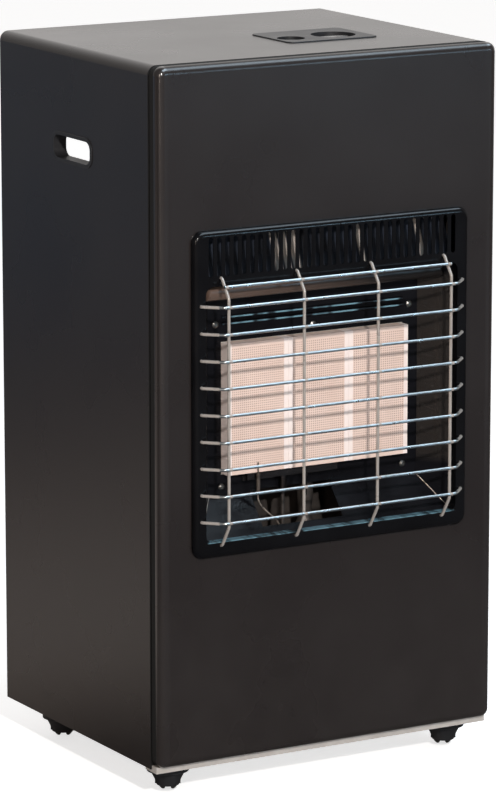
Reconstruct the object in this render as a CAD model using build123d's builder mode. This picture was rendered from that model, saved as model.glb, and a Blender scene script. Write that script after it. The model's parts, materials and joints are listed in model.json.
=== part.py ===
from build123d import *
from math import hypot
import os

# Gas cabinet heater on four castors: a sheet steel cabinet that houses a gas cylinder behind a
# three-plaque radiant burner. Millimetres, +Z up, floor at Z = 0, front towards -Y, +X to the
# right of someone who faces the burner. The origin is under the middle of the whole heater.

# ---------------------------------------------------------------- driving dimensions

# Stock and fits
sheet = 1.2                  # painted steel of cabinet, panel, tray and cover
pan_sheet = 1.0              # enamelled steel of the burner pans and heat shields
clear = 0.3                  # air between pieces that move past each other
fit = 0.05                   # radial clearance of a shaft in its bore

# Cabinet wrap: left side, top and right side bent from one sheet
cabinet_width = 410.0
cabinet_height = 740.0
cabinet_depth = 328.0
ground_clearance = 35.0
shoulder_radius = 10.0
front_return = 14.0
rear_return = 16.0
return_corner = 4.0

# Hand slots in the sides
hand_slot_length = 80.0
hand_slot_height = 24.0
hand_slot_radius = 9.0
hand_slot_z = 668.0
insert_wall = 2.0
insert_lip = 2.0
insert_lip_height = 1.0
insert_depth = 14.0

# Front panel
panel_depth = 17.0
panel_gap = 3.0
panel_corner = 9.0
panel_edge = 8.0
panel_base = 39.0
panel_step = 4.0

# Fascia, the enamelled burner surround
fascia_width = 334.0
fascia_base = 260.0
fascia_proud = 7.0
fascia_corner = 12.0
fascia_edge = 5.5
fascia_lap = 4.0
fascia_collar = 10.0
cheek_border = 14.0
sill_border = 17.0
opening_head = 68.3          # top of the opening above the plaques
opening_corner = 8.0
opening_return = 4.0

# Louvre slots
louvre_count = 31
louvre_pitch = 9.8
louvre_width = 5.4
louvre_height = 41.0
louvre_sill = 10.5
louvre_head = 6.5            # slots end below the top of the fascia
deflector_depth = 26.0

# Reflector pan behind the opening
pan_depth = 35.0
back_plate_width = 255.0
back_plate_rise = 36.0       # lower edge of the back plate above the opening's sill
bead_radius = 2.0
bead_pitch = 7.0
bead_drop = 45.0             # beads below the top of the opening
bead_end = 17.0              # bead ends inside the edges of the back plate
plate_screw_inset = 9.0
plate_screw_rise = 11.5
pilot_notch_left = -76.0
pilot_notch_right = 22.0
pilot_notch_front = 9.0      # front edge of the notch behind the panel face

# Hood over the burner
hood_height = 18.0
hood_nose = 4.5              # front of the nose behind the panel face
hood_side_gap = 1.5
hood_end_radius = 6.0

# Ceramic plaques
plaque_count = 3
plaque_width = 73.2
plaque_height = 139.5
plaque_thickness = 14.0
plaque_joint = 0.6
plaque_face = 23.0           # front of the plaques behind the panel face
plaque_rise = 25.2           # plaques above the lower edge of the back plate
plaque_margin = 5.0
plaque_relief = 0.5
plaque_clear = 1.0

# Burner body
gasket_thickness = 2.0
ledge = 5.0
burner_depth = 26.0
burner_corner = 8.0
flange_width = 250.0
flange_base = 320.0
flange_height = 184.0

# Mixing tubes and injectors
tube_radius = 8.5
tube_bore = 7.5
throat_radius = 6.0
bell_radius = 11.0
bell_flare = 1.5
tube_pitch = 74.0
tube_collar_radius = 11.5
tube_base = 268.0
throat_rise = 16.0
injector_radius = 4.5
injector_height = 10.0
injector_step = 1.0
rail_length = 190.0
rail_width = 24.0
rail_height = 12.0

# Burner bay heat shield
shield_width = 376.0
shield_depth = 69.8
shield_base = 240.0
shield_rise = 36.0           # top of the shield above the fascia
shield_flange = 13.0
top_shield_width = 300.0
top_shield_lip = 15.0

# Wire guard
wire = 3.3
guard_stand = 26.0           # front wires' centre lines in front of the panel face
upright_pitch = 90.0
upright_count = 4
crosswire_count = 9
crosswire_pitch = 28.35
crosswire_rise = 23.2        # lowest crosswire above the opening's sill
corner_overhang = 6.0
leg_run = 17.5
leg_rise = 19.5
bottom_leg_drop = 22.0
bend_radius = 4.0
tip_hole_clear = 0.1
tip_depth = 3.0              # how far the tips reach behind the fascia's face
weld_gap = 0.02              # crosswires lie on the uprights, welded spots left out

# Pilot parts under the plaques
bracket_left = -86.0
bracket_right = 24.0
bracket_flange = 9.0
bracket_lip = 6.0
bracket_drop = 1.4           # top of the bracket below the plaques
pilot_x = -40.0
pilot_radius = 4.0
pilot_length = 26.0
pilot_neck_radius = 2.5
pilot_neck_length = 8.0
pilot_pipe_radius = 2.0
pilot_pipe_base = 258.0
pilot_pipe_top = 724.0
pilot_pipe_x = 164.0
pilot_pipe_bend = 8.0
thermocouple_x = -12.0
thermocouple_radius = 2.6
thermocouple_length = 30.0
thermocouple_nut = 10.0
socket_step = 1.0            # how far pilot and thermocouple are stepped down in the bracket
electrode_x = -74.0
electrode_radius = 2.0
electrode_length = 20.0
electrode_wire = 0.8
electrode_reach = 12.0

# Controls in the top
bezel_length = 110.0
bezel_depth = 85.0
bezel_corner = 8.0
bezel_x = 65.0
bezel_from_back = 42.0       # bezel centre in front of the middle of the hand slots
bezel_plate = 1.2
bezel_lap = 2.0
bezel_collar = 6.0
bezel_wall = 1.2
knob_x = 84.0
knob_offset = -7.0
knob_well_radius = 24.0
knob_well_depth = 22.5
knob_radius = 20.0
knob_skirt = 5.0
knob_grip_width = 13.0
knob_sink = 1.0              # top of the grip below the top of the cabinet
knob_travel = 4.0
knob_floor_gap = 5.0
knob_edge = 1.0
grip_inset = 2.0
grip_edge = 1.5
grip_cap = 5.0               # plastic over the end of the spindle
pointer_length = 14.0
pointer_width = 1.6
pointer_depth = 0.8
button_x = 29.0
button_offset = -12.0
button_well_radius = 15.0
button_well_depth = 12.0
button_radius = 11.0
button_stem_radius = 4.0
button_travel = 6.0
button_sink = 1.5
button_edge = 1.0
button_cap_gap = 1.0         # under the cap when it is pressed in
button_engage = 6.0          # how deep the stem reaches into the igniter
dish_inset = 2.0
dish_depth = 1.2
sleeve_radius = 6.0
spindle_radius = 4.0
sleeve_seat = 12.0           # how deep the sleeve reaches into the valve
sleeve_play = 2.0
piezo_radius = 8.0
piezo_length = 48.0
piezo_flange = 3.0
piezo_step = 3.0
piezo_terminal = 8.0
piezo_bore_play = 8.0

# Gas valve
valve_length = 56.0
valve_width = 36.0
valve_height = 38.0
valve_edge = 3.0
valve_drop = 37.0            # top of the valve below the top of the cabinet
bracket_plate = 1.2
valve_bracket_width = 114.0
valve_bracket_depth = 50.0
valve_bracket_foot = 10.0
outlet_pitch = 16.0
outlet_radius = 5.0
outlet_length = 8.0
outlet_drop = 26.0
pipe_radius = 3.0
pipe_pitch = 7.0
pipe_bend = 12.0
pipe_run_x = 172.0
inlet_radius = 8.0
inlet_length = 8.0
nozzle_nut_radius = 8.5
nozzle_nut_length = 9.0
nozzle_radius = 4.5
nozzle_length = 26.0
nozzle_nose = 1.5

# Base tray
tray_floor = 48.5            # underside of the floor
tray_wall = 22.0
tray_setback = 2.0
tray_clear = 0.1
lip_setback = 10.0           # front lip behind the panel face
lip_drop = 7.0
lip_return = 12.0
vent_length = 70.0
vent_width = 9.0

# Rear cover
cover_bulge = 70.0           # bulge behind the back edges of the cabinet
cover_side_inset = 4.0
cover_base = 46.0
cover_top = 588.0
cover_corner = 10.0
bulge_margin = 12.0
bulge_slope = 32.0
bulge_corner = 30.0
hook_width = 6.0
hook_neck = 16.0
hook_leg = 12.0
hook_slot_width = 9.0
hook_slot_height = 34.0
hook_low = 150.0
hook_high = 480.0
cover_vent_length = 70.0
cover_vent_width = 5.0
cover_vent_rows = 6
cover_vent_pitch = 14.0
cover_vent_columns = 2
cover_vent_spacing = 110.0
cover_vent_z = 150.0

# Rear top rail
rail_drop = 37.0             # middle of the rail below the top of the cabinet
top_rail_height = 32.0
top_rail_flange = 14.0

# Screws
screw_head_radius = 3.6
screw_head_height = 2.2
screw_shank_radius = 1.8
screw_length = 7.0
screw_hole_clear = 0.2

# Castors
castor_inset = 33.0          # swivel axis inside the sides of the cabinet
castor_front = 23.0          # swivel axis behind the front edge of the cabinet sides
castor_rear = 69.0           # swivel axis in front of the rear edge of the cabinet sides
castor_trail = 14.0
castor_heading = 30.0        # trail direction, turned from the rear towards the right
wheel_radius = 17.0
wheel_width = 9.0
wheel_tread = 3.0            # flat part of the tread, the rest of each wheel is domed
wheel_edge = 1.0
wheel_hub = 3.0
wheel_dome_reach = 7.4       # the dome passes through this point of its width
wheel_dome_radius = 12.2     # and this radius
web_half = 2.6
wheel_side_gap = 0.5
wheel_bay_clear = 0.7
hood_skin = 1.7
castor_hood_radius = 22.3    # rim of the bowl round the swivel axis
castor_hood_base = 9.0
castor_hood_foot = 12.0
castor_rim_base = 24.5
castor_rim_height = 3.5
castor_hood_top = 36.4
castor_hood_bow = 3.0        # how far the bowl bulges out between foot and rim
castor_rim_lip = 4.0         # how far the rim stands out from the bowl
castor_rim_fall = 1.5
fork_end_drop = 4.0          # lower end of the fender below the axle's bore
castor_plate_corner = 3.0
fork_half_width = 13.5
boss_radius = 9.0
stem_radius = 4.0
rivet_radius = 6.0
rivet_height = 1.4
rivet_clearance = 2.0
axle_radius = 2.5
axle_head_radius = 3.6
axle_head_height = 1.0
castor_plate_length = 38.0
castor_plate_thickness = 2.0

# ---------------------------------------------------------------- places worked out from them

z_low = ground_clearance
z_top = z_low + cabinet_height
half_width = cabinet_width / 2
castor_x = half_width - castor_inset

guard_reach = guard_stand + wire / 2
overall_depth = guard_reach + panel_depth + panel_gap + cabinet_depth + cover_bulge
y_face = guard_reach - overall_depth / 2          # front of the front panel
y_panel_back = y_face + panel_depth
y_body = y_panel_back + panel_gap                 # front edge of the cabinet wrap
y_rear = y_body + cabinet_depth
y_cover = y_rear + cover_bulge
hand_slot_y = (y_body + y_rear) / 2

panel_height = z_top - panel_base
panel_mid = panel_base + panel_height / 2

opening_width = fascia_width - 2 * cheek_border
opening_base = fascia_base + sill_border
back_plate_base = opening_base + back_plate_rise
plaque_base = back_plate_base + plaque_rise
plaque_mid = plaque_base + plaque_height / 2
opening_top = plaque_base + plaque_height + opening_head
opening_height = opening_top - opening_base
opening_mid = opening_base + opening_height / 2
louvre_mid = opening_top + louvre_sill + louvre_height / 2
fascia_height = sill_border + opening_height + louvre_sill + louvre_height + louvre_head
fascia_mid = fascia_base + fascia_height / 2

plaque_row = plaque_count * plaque_width + (plaque_count - 1) * plaque_joint
aperture_width = plaque_row + 2 * plaque_clear
aperture_height = plaque_height + 2 * plaque_clear

bezel_y = hand_slot_y - bezel_from_back
knob_y = bezel_y + knob_offset
button_y = bezel_y + button_offset
valve_top = z_top - valve_drop
knob_floor = z_top - knob_well_depth
rail_z = z_top - rail_drop
button_floor = z_top - button_well_depth


def depth(distance):
    """Y of a point this far behind the face of the front panel."""
    return y_face + distance


def facing(y):
    """Upright sketch plane that faces the front: sketch x is X, sketch y is Z."""
    return Plane(origin=(0, y, 0), x_dir=(1, 0, 0), z_dir=(0, -1, 0))


def side(x):
    """Upright sketch plane that faces the right: sketch x is Y, sketch y is Z."""
    return Plane(origin=(x, 0, 0), x_dir=(0, 1, 0), z_dir=(1, 0, 0))


def level(z):
    """Flat sketch plane at a height."""
    return Plane.XY.offset(z)


def arch(width, base, top, radius):
    """Outline with square feet and rounded shoulders."""
    half = width / 2
    with BuildSketch() as outline:
        with BuildLine():
            FilletPolyline((-half, base), (-half, top), (half, top), (half, base), radius=radius)
            Line((half, base), (-half, base))
        make_face()
    return outline.sketch


def pillow(width, height, thickness, corner, edge, back, middle):
    """Filled block facing the front, with rounded corners and a rounded front rim."""
    with BuildPart() as block:
        with BuildSketch(facing(back)):
            with Locations((0, middle)):
                RectangleRounded(width, height, corner)
        extrude(amount=thickness)
        fillet(block.faces().sort_by(Axis.Y)[0].edges(), edge)
    return block.part


def keep(piece, name):
    """Label a finished piece and write it as its own STEP file."""
    piece.part.label = name
    export_step(piece.part, f"parts/{name}.step")


os.makedirs("parts", exist_ok=True)

# ---------------------------------------------------------------- cabinet

with BuildPart() as cabinet_shell:
    with BuildSketch(facing(y_rear)):
        add(arch(cabinet_width, z_low, z_top, shoulder_radius))
        add(
            arch(cabinet_width - 2 * sheet, z_low, z_top - sheet, shoulder_radius - sheet),
            mode=Mode.SUBTRACT,
        )
    extrude(amount=cabinet_depth)
    # inward returns along the front and rear edges, the front one clear of the tray's ledge
    for return_back, reach, foot in (
        (y_body + sheet, front_return, panel_base + clear), (y_rear, rear_return, z_low),
    ):
        with BuildSketch(facing(return_back)):
            add(arch(cabinet_width, foot, z_top, shoulder_radius))
            add(arch(cabinet_width - 2 * reach, foot, z_top - reach, return_corner), mode=Mode.SUBTRACT)
        extrude(amount=sheet)
    # openings for the hand slot inserts, straight through both sides
    with BuildSketch(side(0)):
        with Locations((hand_slot_y, hand_slot_z)):
            RectangleRounded(
                hand_slot_length + 2 * (insert_wall + clear),
                hand_slot_height + 2 * (insert_wall + clear),
                hand_slot_radius + insert_wall + clear,
            )
    extrude(amount=cabinet_width, both=True, mode=Mode.SUBTRACT)
    # opening for the control bezel
    with BuildSketch(level(z_top)):
        with Locations((bezel_x, bezel_y)):
            RectangleRounded(
                bezel_length - 2 * bezel_lap, bezel_depth - 2 * bezel_lap, bezel_corner - bezel_lap
            )
    extrude(amount=-2 * sheet, mode=Mode.SUBTRACT)
    # slots for the rear cover's hooks
    hook_x = half_width - sheet - (rear_return - sheet) / 2
    hook_slot_rise = (hook_slot_height - hook_neck) / 2 - clear
    with BuildSketch(facing(y_rear)):
        for hook_z in (hook_low, hook_high):
            with Locations((-hook_x, hook_z + hook_slot_rise), (hook_x, hook_z + hook_slot_rise)):
                Rectangle(hook_slot_width, hook_slot_height)
    extrude(amount=2 * sheet, mode=Mode.SUBTRACT)
    # screw holes for the rear top rail
    with BuildSketch(facing(y_rear)):
        with Locations((-hook_x, rail_z), (hook_x, rail_z)):
            Circle(screw_shank_radius + screw_hole_clear)
    extrude(amount=2 * sheet, mode=Mode.SUBTRACT)
keep(cabinet_shell, "cabinet_shell")

panel_block = pillow(
    cabinet_width, panel_height, panel_depth, panel_corner, panel_edge, y_panel_back, panel_mid
)
panel_hollow = pillow(
    cabinet_width - 2 * sheet, panel_height - 2 * sheet, panel_depth - sheet,
    panel_corner - sheet, panel_edge - sheet, y_panel_back, panel_mid,
)
window_width = fascia_width - 2 * fascia_lap
window_height = fascia_height - 2 * fascia_lap
window_corner = fascia_corner - fascia_lap
with BuildPart() as front_panel:
    add(panel_block)
    add(panel_hollow, mode=Mode.SUBTRACT)
    # lip turned in at the back of the flange, then a set-in rim that meets the cabinet
    with BuildSketch(facing(y_panel_back)):
        with Locations((0, panel_mid)):
            RectangleRounded(cabinet_width, panel_height, panel_corner)
            RectangleRounded(
                cabinet_width - 2 * (panel_step + sheet), panel_height - 2 * (panel_step + sheet),
                panel_corner - panel_step - sheet, mode=Mode.SUBTRACT,
            )
    extrude(amount=sheet)
    with BuildSketch(facing(y_body)):
        with Locations((0, panel_mid)):
            RectangleRounded(
                cabinet_width - 2 * panel_step, panel_height - 2 * panel_step,
                panel_corner - panel_step,
            )
            RectangleRounded(
                cabinet_width - 2 * (panel_step + sheet), panel_height - 2 * (panel_step + sheet),
                panel_corner - panel_step - sheet, mode=Mode.SUBTRACT,
            )
    extrude(amount=panel_gap)
    with BuildSketch(facing(depth(2 * sheet))):
        with Locations((0, fascia_mid)):
            RectangleRounded(window_width, window_height, window_corner)
    extrude(amount=3 * sheet, mode=Mode.SUBTRACT)
keep(front_panel, "front_panel")

tray_width = cabinet_width - 2 * (sheet + tray_clear)
tray_front = y_body + tray_setback
tray_back = y_rear - sheet - tray_clear
tray_depth = tray_back - tray_front
tray_middle = (tray_front + tray_back) / 2
castor_spots = [
    (x, y) for y in (y_body + castor_front, y_rear - castor_rear) for x in (-castor_x, castor_x)
]
with BuildPart() as base_tray:
    with BuildSketch(level(tray_floor)):
        with Locations((0, tray_middle)):
            Rectangle(tray_width, tray_depth)
    extrude(amount=tray_wall)
    with BuildSketch(level(tray_floor + sheet)):
        with Locations((0, tray_middle)):
            Rectangle(tray_width - 2 * sheet, tray_depth - 2 * sheet)
    extrude(amount=tray_wall, mode=Mode.SUBTRACT)
    # ledge under the front panel, with its lip
    lip_y = depth(lip_setback)
    lip_base = panel_base - lip_drop
    with BuildSketch(side(0)):
        with BuildLine():
            Polyline(
                (tray_front, tray_floor + sheet), (tray_front, panel_base), (lip_y, panel_base),
                (lip_y, lip_base), (lip_y + sheet, lip_base), (lip_y + sheet, panel_base - sheet),
                (tray_front + sheet, panel_base - sheet), (tray_front + sheet, tray_floor + sheet),
                close=True,
            )
        make_face()
    extrude(amount=tray_width / 2, both=True)
    with BuildSketch(level(lip_base)):
        for sign in (-1, 1):
            with Locations((sign * (tray_width - sheet) / 2, (lip_y + tray_front + lip_return) / 2)):
                Rectangle(sheet, tray_front + lip_return - lip_y)
    extrude(amount=lip_drop)
    # air slots in the floor and clearance holes over the castor stems
    with BuildSketch(level(tray_floor)):
        with Locations((0, tray_middle)):
            with GridLocations(2 * vent_length, 4 * vent_length / 3, 2, 3):
                SlotOverall(vent_length, vent_width)
        with Locations(*castor_spots):
            Circle(rivet_radius + rivet_clearance)
    extrude(amount=sheet, mode=Mode.SUBTRACT)
keep(base_tray, "base_tray")

with BuildPart() as rear_top_rail:
    rail_back = y_rear - sheet
    with BuildSketch(side(0)):
        with BuildLine():
            Polyline(
                (rail_back, rail_z - top_rail_height / 2), (rail_back, rail_z + top_rail_height / 2),
                (rail_back - top_rail_flange, rail_z + top_rail_height / 2),
                (rail_back - top_rail_flange, rail_z + top_rail_height / 2 - sheet),
                (rail_back - sheet, rail_z + top_rail_height / 2 - sheet),
                (rail_back - sheet, rail_z - top_rail_height / 2 + sheet),
                (rail_back - top_rail_flange, rail_z - top_rail_height / 2 + sheet),
                (rail_back - top_rail_flange, rail_z - top_rail_height / 2),
                close=True,
            )
        make_face()
    extrude(amount=half_width - sheet, both=True)
    with BuildSketch(facing(rail_back)):
        with Locations((-hook_x, rail_z), (hook_x, rail_z)):
            Circle(screw_shank_radius + screw_hole_clear)
    extrude(amount=2 * sheet, mode=Mode.SUBTRACT)
keep(rear_top_rail, "rear_top_rail")

for insert_name, hand in (("hand_slot_insert_left", -1), ("hand_slot_insert_right", 1)):
    outer_face = hand * half_width
    with BuildPart() as hand_slot_insert:
        # lip on the outside, then the collar through the sheet
        with BuildSketch(side(outer_face)):
            with Locations((hand_slot_y, hand_slot_z)):
                RectangleRounded(
                    hand_slot_length + 2 * (insert_wall + insert_lip),
                    hand_slot_height + 2 * (insert_wall + insert_lip),
                    hand_slot_radius + insert_wall + insert_lip,
                )
        extrude(amount=hand * insert_lip_height)
        lip_face = hand_slot_insert.faces().sort_by(Axis.X)[0 if hand < 0 else -1]
        fillet(lip_face.edges(), insert_lip_height / 2)
        with BuildSketch(side(outer_face)):
            with Locations((hand_slot_y, hand_slot_z)):
                RectangleRounded(
                    hand_slot_length + 2 * insert_wall, hand_slot_height + 2 * insert_wall,
                    hand_slot_radius + insert_wall,
                )
        extrude(amount=-hand * insert_depth)
        with BuildSketch(side(outer_face + hand * insert_lip_height)):
            with Locations((hand_slot_y, hand_slot_z)):
                RectangleRounded(hand_slot_length, hand_slot_height, hand_slot_radius)
        extrude(amount=-hand * (insert_depth + insert_lip_height), mode=Mode.SUBTRACT)
    keep(hand_slot_insert, insert_name)

# ---------------------------------------------------------------- fascia and reflector

guard_front = depth(-guard_stand)
upright_y = guard_front + wire + weld_gap
uprights = [(i - (upright_count - 1) / 2) * upright_pitch for i in range(upright_count)]
corner_x = (upright_count - 1) / 2 * upright_pitch + corner_overhang
tip_x = corner_x + leg_run
crosswires = [
    opening_base + crosswire_rise + i * crosswire_pitch for i in range(crosswire_count)
]
top_bend = crosswires[-1] + 2.5 * wire
bottom_bend = crosswires[0] - 1.5 * wire
top_tip = top_bend + leg_rise
bottom_tip = bottom_bend - bottom_leg_drop
tip_end = depth(tip_depth - fascia_proud)
tip_start = guard_front + leg_run

fascia_block = pillow(
    fascia_width, fascia_height, fascia_proud, fascia_corner, fascia_edge, y_face, fascia_mid
)
fascia_hollow = pillow(
    fascia_width - 2 * pan_sheet, fascia_height - 2 * pan_sheet, fascia_proud - pan_sheet,
    fascia_corner - pan_sheet, fascia_edge - pan_sheet, y_face, fascia_mid,
)
fascia_inside = depth(pan_sheet - fascia_proud)      # back of the fascia's face
with BuildPart() as fascia:
    add(fascia_block)
    add(fascia_hollow, mode=Mode.SUBTRACT)
    # collar that passes through the panel's window
    with BuildSketch(facing(depth(fascia_collar))):
        with Locations((0, fascia_mid)):
            RectangleRounded(window_width - 2 * clear, window_height - 2 * clear, window_corner - clear)
            RectangleRounded(
                window_width - 2 * (clear + pan_sheet), window_height - 2 * (clear + pan_sheet),
                window_corner - clear - pan_sheet, mode=Mode.SUBTRACT,
            )
    extrude(amount=fascia_collar + fascia_proud - pan_sheet)
    # return round the burner opening
    with BuildSketch(facing(depth(opening_return))):
        with Locations((0, opening_mid)):
            RectangleRounded(
                opening_width + 2 * pan_sheet, opening_height + 2 * pan_sheet,
                opening_corner + pan_sheet,
            )
    extrude(amount=opening_return + fascia_proud - pan_sheet)
    with BuildSketch(facing(depth(opening_return))):
        with Locations((0, opening_mid)):
            RectangleRounded(opening_width, opening_height, opening_corner)
    extrude(amount=opening_return + fascia_proud, mode=Mode.SUBTRACT)
    # louvre slots
    with BuildSketch(facing(fascia_inside)):
        with Locations((0, louvre_mid)):
            with GridLocations(louvre_pitch, louvre_pitch, louvre_count, 1):
                SlotOverall(louvre_height, louvre_width, rotation=90)
    extrude(amount=pan_sheet, mode=Mode.SUBTRACT)
    # holes that take the tips of the guard
    with BuildSketch(facing(fascia_inside)):
        with Locations(*[(x, z) for x in uprights for z in (top_tip, bottom_tip)]):
            Circle(wire / 2 + tip_hole_clear)
        with Locations(*[(x, z) for x in (-tip_x, tip_x) for z in crosswires]):
            Circle(wire / 2 + tip_hole_clear)
    extrude(amount=pan_sheet, mode=Mode.SUBTRACT)
keep(fascia, "fascia")

with BuildPart() as louvre_deflector:
    plate_foot = opening_top + 2 * pan_sheet
    plate_top = louvre_mid + louvre_height / 2
    lean_foot = depth(opening_return)
    lean_top = depth(deflector_depth)
    with BuildSketch(side(0)):
        with BuildLine():
            Polyline(
                (fascia_inside, plate_foot), (lean_foot, plate_foot), (lean_top, plate_top),
                (lean_top + pan_sheet, plate_top), (lean_foot + pan_sheet, plate_foot - pan_sheet),
                (fascia_inside, plate_foot - pan_sheet), close=True,
            )
        make_face()
    extrude(amount=opening_width / 2, both=True)
keep(louvre_deflector, "louvre_deflector")

pan_front = depth(opening_return)
pan_back = depth(pan_depth)
back_plate_height = opening_top - back_plate_base
back_plate_mid = back_plate_base + back_plate_height / 2
upper_screw_x = back_plate_width / 2 - plate_screw_inset
screw_spots = [
    (-upper_screw_x, opening_top - bead_drop - bead_pitch / 2),
    (upper_screw_x, opening_top - bead_drop - bead_pitch / 2),
    (0, plaque_base + plaque_height + plate_screw_inset),
    (-aperture_width / 2, back_plate_base + plate_screw_rise),
    (aperture_width / 2, back_plate_base + plate_screw_rise),
]
with BuildPart() as reflector_pan:
    with BuildSketch(facing(pan_front)):
        with Locations((0, opening_mid)):
            Rectangle(opening_width + 2 * pan_sheet, opening_height + 2 * pan_sheet)
    with BuildSketch(facing(pan_back + pan_sheet)):
        with Locations((0, back_plate_mid)):
            Rectangle(back_plate_width + 2 * pan_sheet, back_plate_height + 2 * pan_sheet)
    loft(ruled=True)
    with BuildSketch(facing(pan_front)):
        with Locations((0, opening_mid)):
            Rectangle(opening_width, opening_height)
    with BuildSketch(facing(pan_back)):
        with Locations((0, back_plate_mid)):
            Rectangle(back_plate_width, back_plate_height)
    loft(ruled=True, mode=Mode.SUBTRACT)
    # aperture for the plaques
    with BuildSketch(facing(pan_back + pan_sheet)):
        with Locations((0, plaque_mid)):
            Rectangle(aperture_width, aperture_height)
        with Locations(*screw_spots):
            Circle(screw_shank_radius + screw_hole_clear)
    extrude(amount=pan_sheet, mode=Mode.SUBTRACT)
    # notch in the sloping lower plate that shows the pilot
    with BuildSketch(level(opening_base - 2 * pan_sheet)):
        with Locations(((pilot_notch_left + pilot_notch_right) / 2, depth(pilot_notch_front))):
            Rectangle(
                pilot_notch_right - pilot_notch_left, pan_depth + 2 * pan_sheet - pilot_notch_front,
                align=(Align.CENTER, Align.MIN),
            )
    extrude(amount=back_plate_rise + 6 * pan_sheet, mode=Mode.SUBTRACT)
    # two pressed beads above the plaques
    bead_length = back_plate_width - 2 * bead_end
    for bead in (-1, 1):
        with BuildSketch(side(-bead_length / 2)):
            with Locations((pan_back, opening_top - bead_drop + bead * bead_pitch / 2)):
                Circle(bead_radius)
        extrude(amount=bead_length)
    # take away what the beads push out behind the plate
    with BuildSketch(facing(pan_back + pan_sheet + bead_radius)):
        with Locations((0, opening_top - bead_drop)):
            Rectangle(bead_length, bead_pitch + 3 * bead_radius)
    extrude(amount=bead_radius, mode=Mode.SUBTRACT)
keep(reflector_pan, "reflector_pan")


def hood_form(skin):
    """Filled hood, smaller by skin on every face but its back."""
    nose_radius = hood_height / 2 - skin
    nose_y = depth(hood_nose) + hood_height / 2
    nose_z = opening_top - clear - hood_height / 2
    back = pan_back - clear
    taper = (opening_width - back_plate_width) / 2 / (pan_depth - opening_return)
    front_half = opening_width / 2 - taper * (hood_nose - opening_return) - hood_side_gap - skin
    back_half = front_half - taper * (back - depth(hood_nose))
    with BuildPart() as form:
        with BuildSketch(side(0)):
            with BuildLine():
                Line((back, nose_z - nose_radius), (back, nose_z + nose_radius))
                Line((back, nose_z + nose_radius), (nose_y, nose_z + nose_radius))
                ThreePointArc(
                    (nose_y, nose_z + nose_radius), (nose_y - nose_radius, nose_z),
                    (nose_y, nose_z - nose_radius),
                )
                Line((nose_y, nose_z - nose_radius), (back, nose_z - nose_radius))
            make_face()
        extrude(amount=front_half, both=True)
        with BuildSketch(level(nose_z - hood_height)) as plan:
            with BuildLine():
                Polyline(
                    (-front_half, depth(hood_nose) + skin), (front_half, depth(hood_nose) + skin),
                    (back_half, back), (-back_half, back), close=True,
                )
            make_face()
            fillet(plan.vertices().group_by(Axis.Y)[0], hood_end_radius)
        extrude(amount=2 * hood_height, mode=Mode.INTERSECT)
    return form.part


hood_skin_form = hood_form(0)
hood_core_form = hood_form(pan_sheet)
with BuildPart() as burner_hood:
    add(hood_skin_form)
    add(hood_core_form, mode=Mode.SUBTRACT)
keep(burner_hood, "burner_hood")

# ---------------------------------------------------------------- burner

plaque_x = [(i - (plaque_count - 1) / 2) * (plaque_width + plaque_joint) for i in range(plaque_count)]
plaque_back = depth(plaque_face + plaque_thickness)
for plaque_number, x in enumerate(plaque_x, start=1):
    with BuildPart() as plaque:
        with BuildSketch(facing(plaque_back)):
            with Locations((x, plaque_mid)):
                Rectangle(plaque_width, plaque_height)
        extrude(amount=plaque_thickness)
        # perforated field, a little below the plain margin
        with BuildSketch(facing(depth(plaque_face) + plaque_relief)):
            with Locations((x, plaque_mid)):
                Rectangle(plaque_width - 2 * plaque_margin, plaque_height - 2 * plaque_margin)
        extrude(amount=plaque_relief, mode=Mode.SUBTRACT)
    keep(plaque, f"ceramic_plaque_{plaque_number}")

gasket_back = plaque_back + gasket_thickness
with BuildPart() as plaque_gasket:
    with BuildSketch(facing(gasket_back)):
        with Locations((0, plaque_mid)):
            Rectangle(aperture_width, aperture_height)
        with Locations(*[(x, plaque_mid) for x in plaque_x]):
            Rectangle(plaque_width - 2 * ledge, plaque_height - 2 * ledge, mode=Mode.SUBTRACT)
    extrude(amount=gasket_thickness)
keep(plaque_gasket, "plaque_gasket")

burner_front = pan_back + pan_sheet
burner_back = burner_front + burner_depth
tube_y = (gasket_back + pan_sheet + burner_back - pan_sheet) / 2
burner_base = plaque_mid - aperture_height / 2 - pan_sheet
tube_x = [(i - 1) * tube_pitch for i in range(3)]
with BuildPart() as burner_body:
    with BuildSketch(facing(burner_back)):
        with Locations((0, plaque_mid)):
            RectangleRounded(
                aperture_width + 2 * pan_sheet, aperture_height + 2 * pan_sheet, pan_sheet
            )
    extrude(amount=burner_depth)
    fillet(burner_body.faces().sort_by(Axis.Y)[-1].edges(), burner_corner)
    # mounting flange against the back of the reflector pan
    with BuildSketch(facing(burner_front + pan_sheet)):
        with Locations((0, flange_base + flange_height / 2)):
            Rectangle(flange_width, flange_height)
    extrude(amount=pan_sheet)
    # seat for gasket and plaques
    with BuildSketch(facing(gasket_back)):
        with Locations((0, plaque_mid)):
            Rectangle(aperture_width, aperture_height)
    extrude(amount=gasket_back - burner_front, mode=Mode.SUBTRACT)
    # one mixing chamber behind each plaque
    with BuildSketch(facing(burner_back - pan_sheet)):
        with Locations(*[(x, plaque_mid) for x in plaque_x]):
            RectangleRounded(plaque_width - 2 * ledge, plaque_height - 2 * ledge, ledge)
    extrude(amount=burner_back - gasket_back, mode=Mode.SUBTRACT)
    with BuildSketch(level(burner_base - pan_sheet)):
        with Locations(*[(x, tube_y) for x in tube_x]):
            Circle(tube_bore)
    extrude(amount=2 * pan_sheet + plaque_clear + ledge, mode=Mode.SUBTRACT)
    with BuildSketch(facing(burner_front + pan_sheet)):
        with Locations(*screw_spots):
            Circle(screw_shank_radius + screw_hole_clear)
    extrude(amount=2 * pan_sheet, mode=Mode.SUBTRACT)
keep(burner_body, "burner_body")

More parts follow.
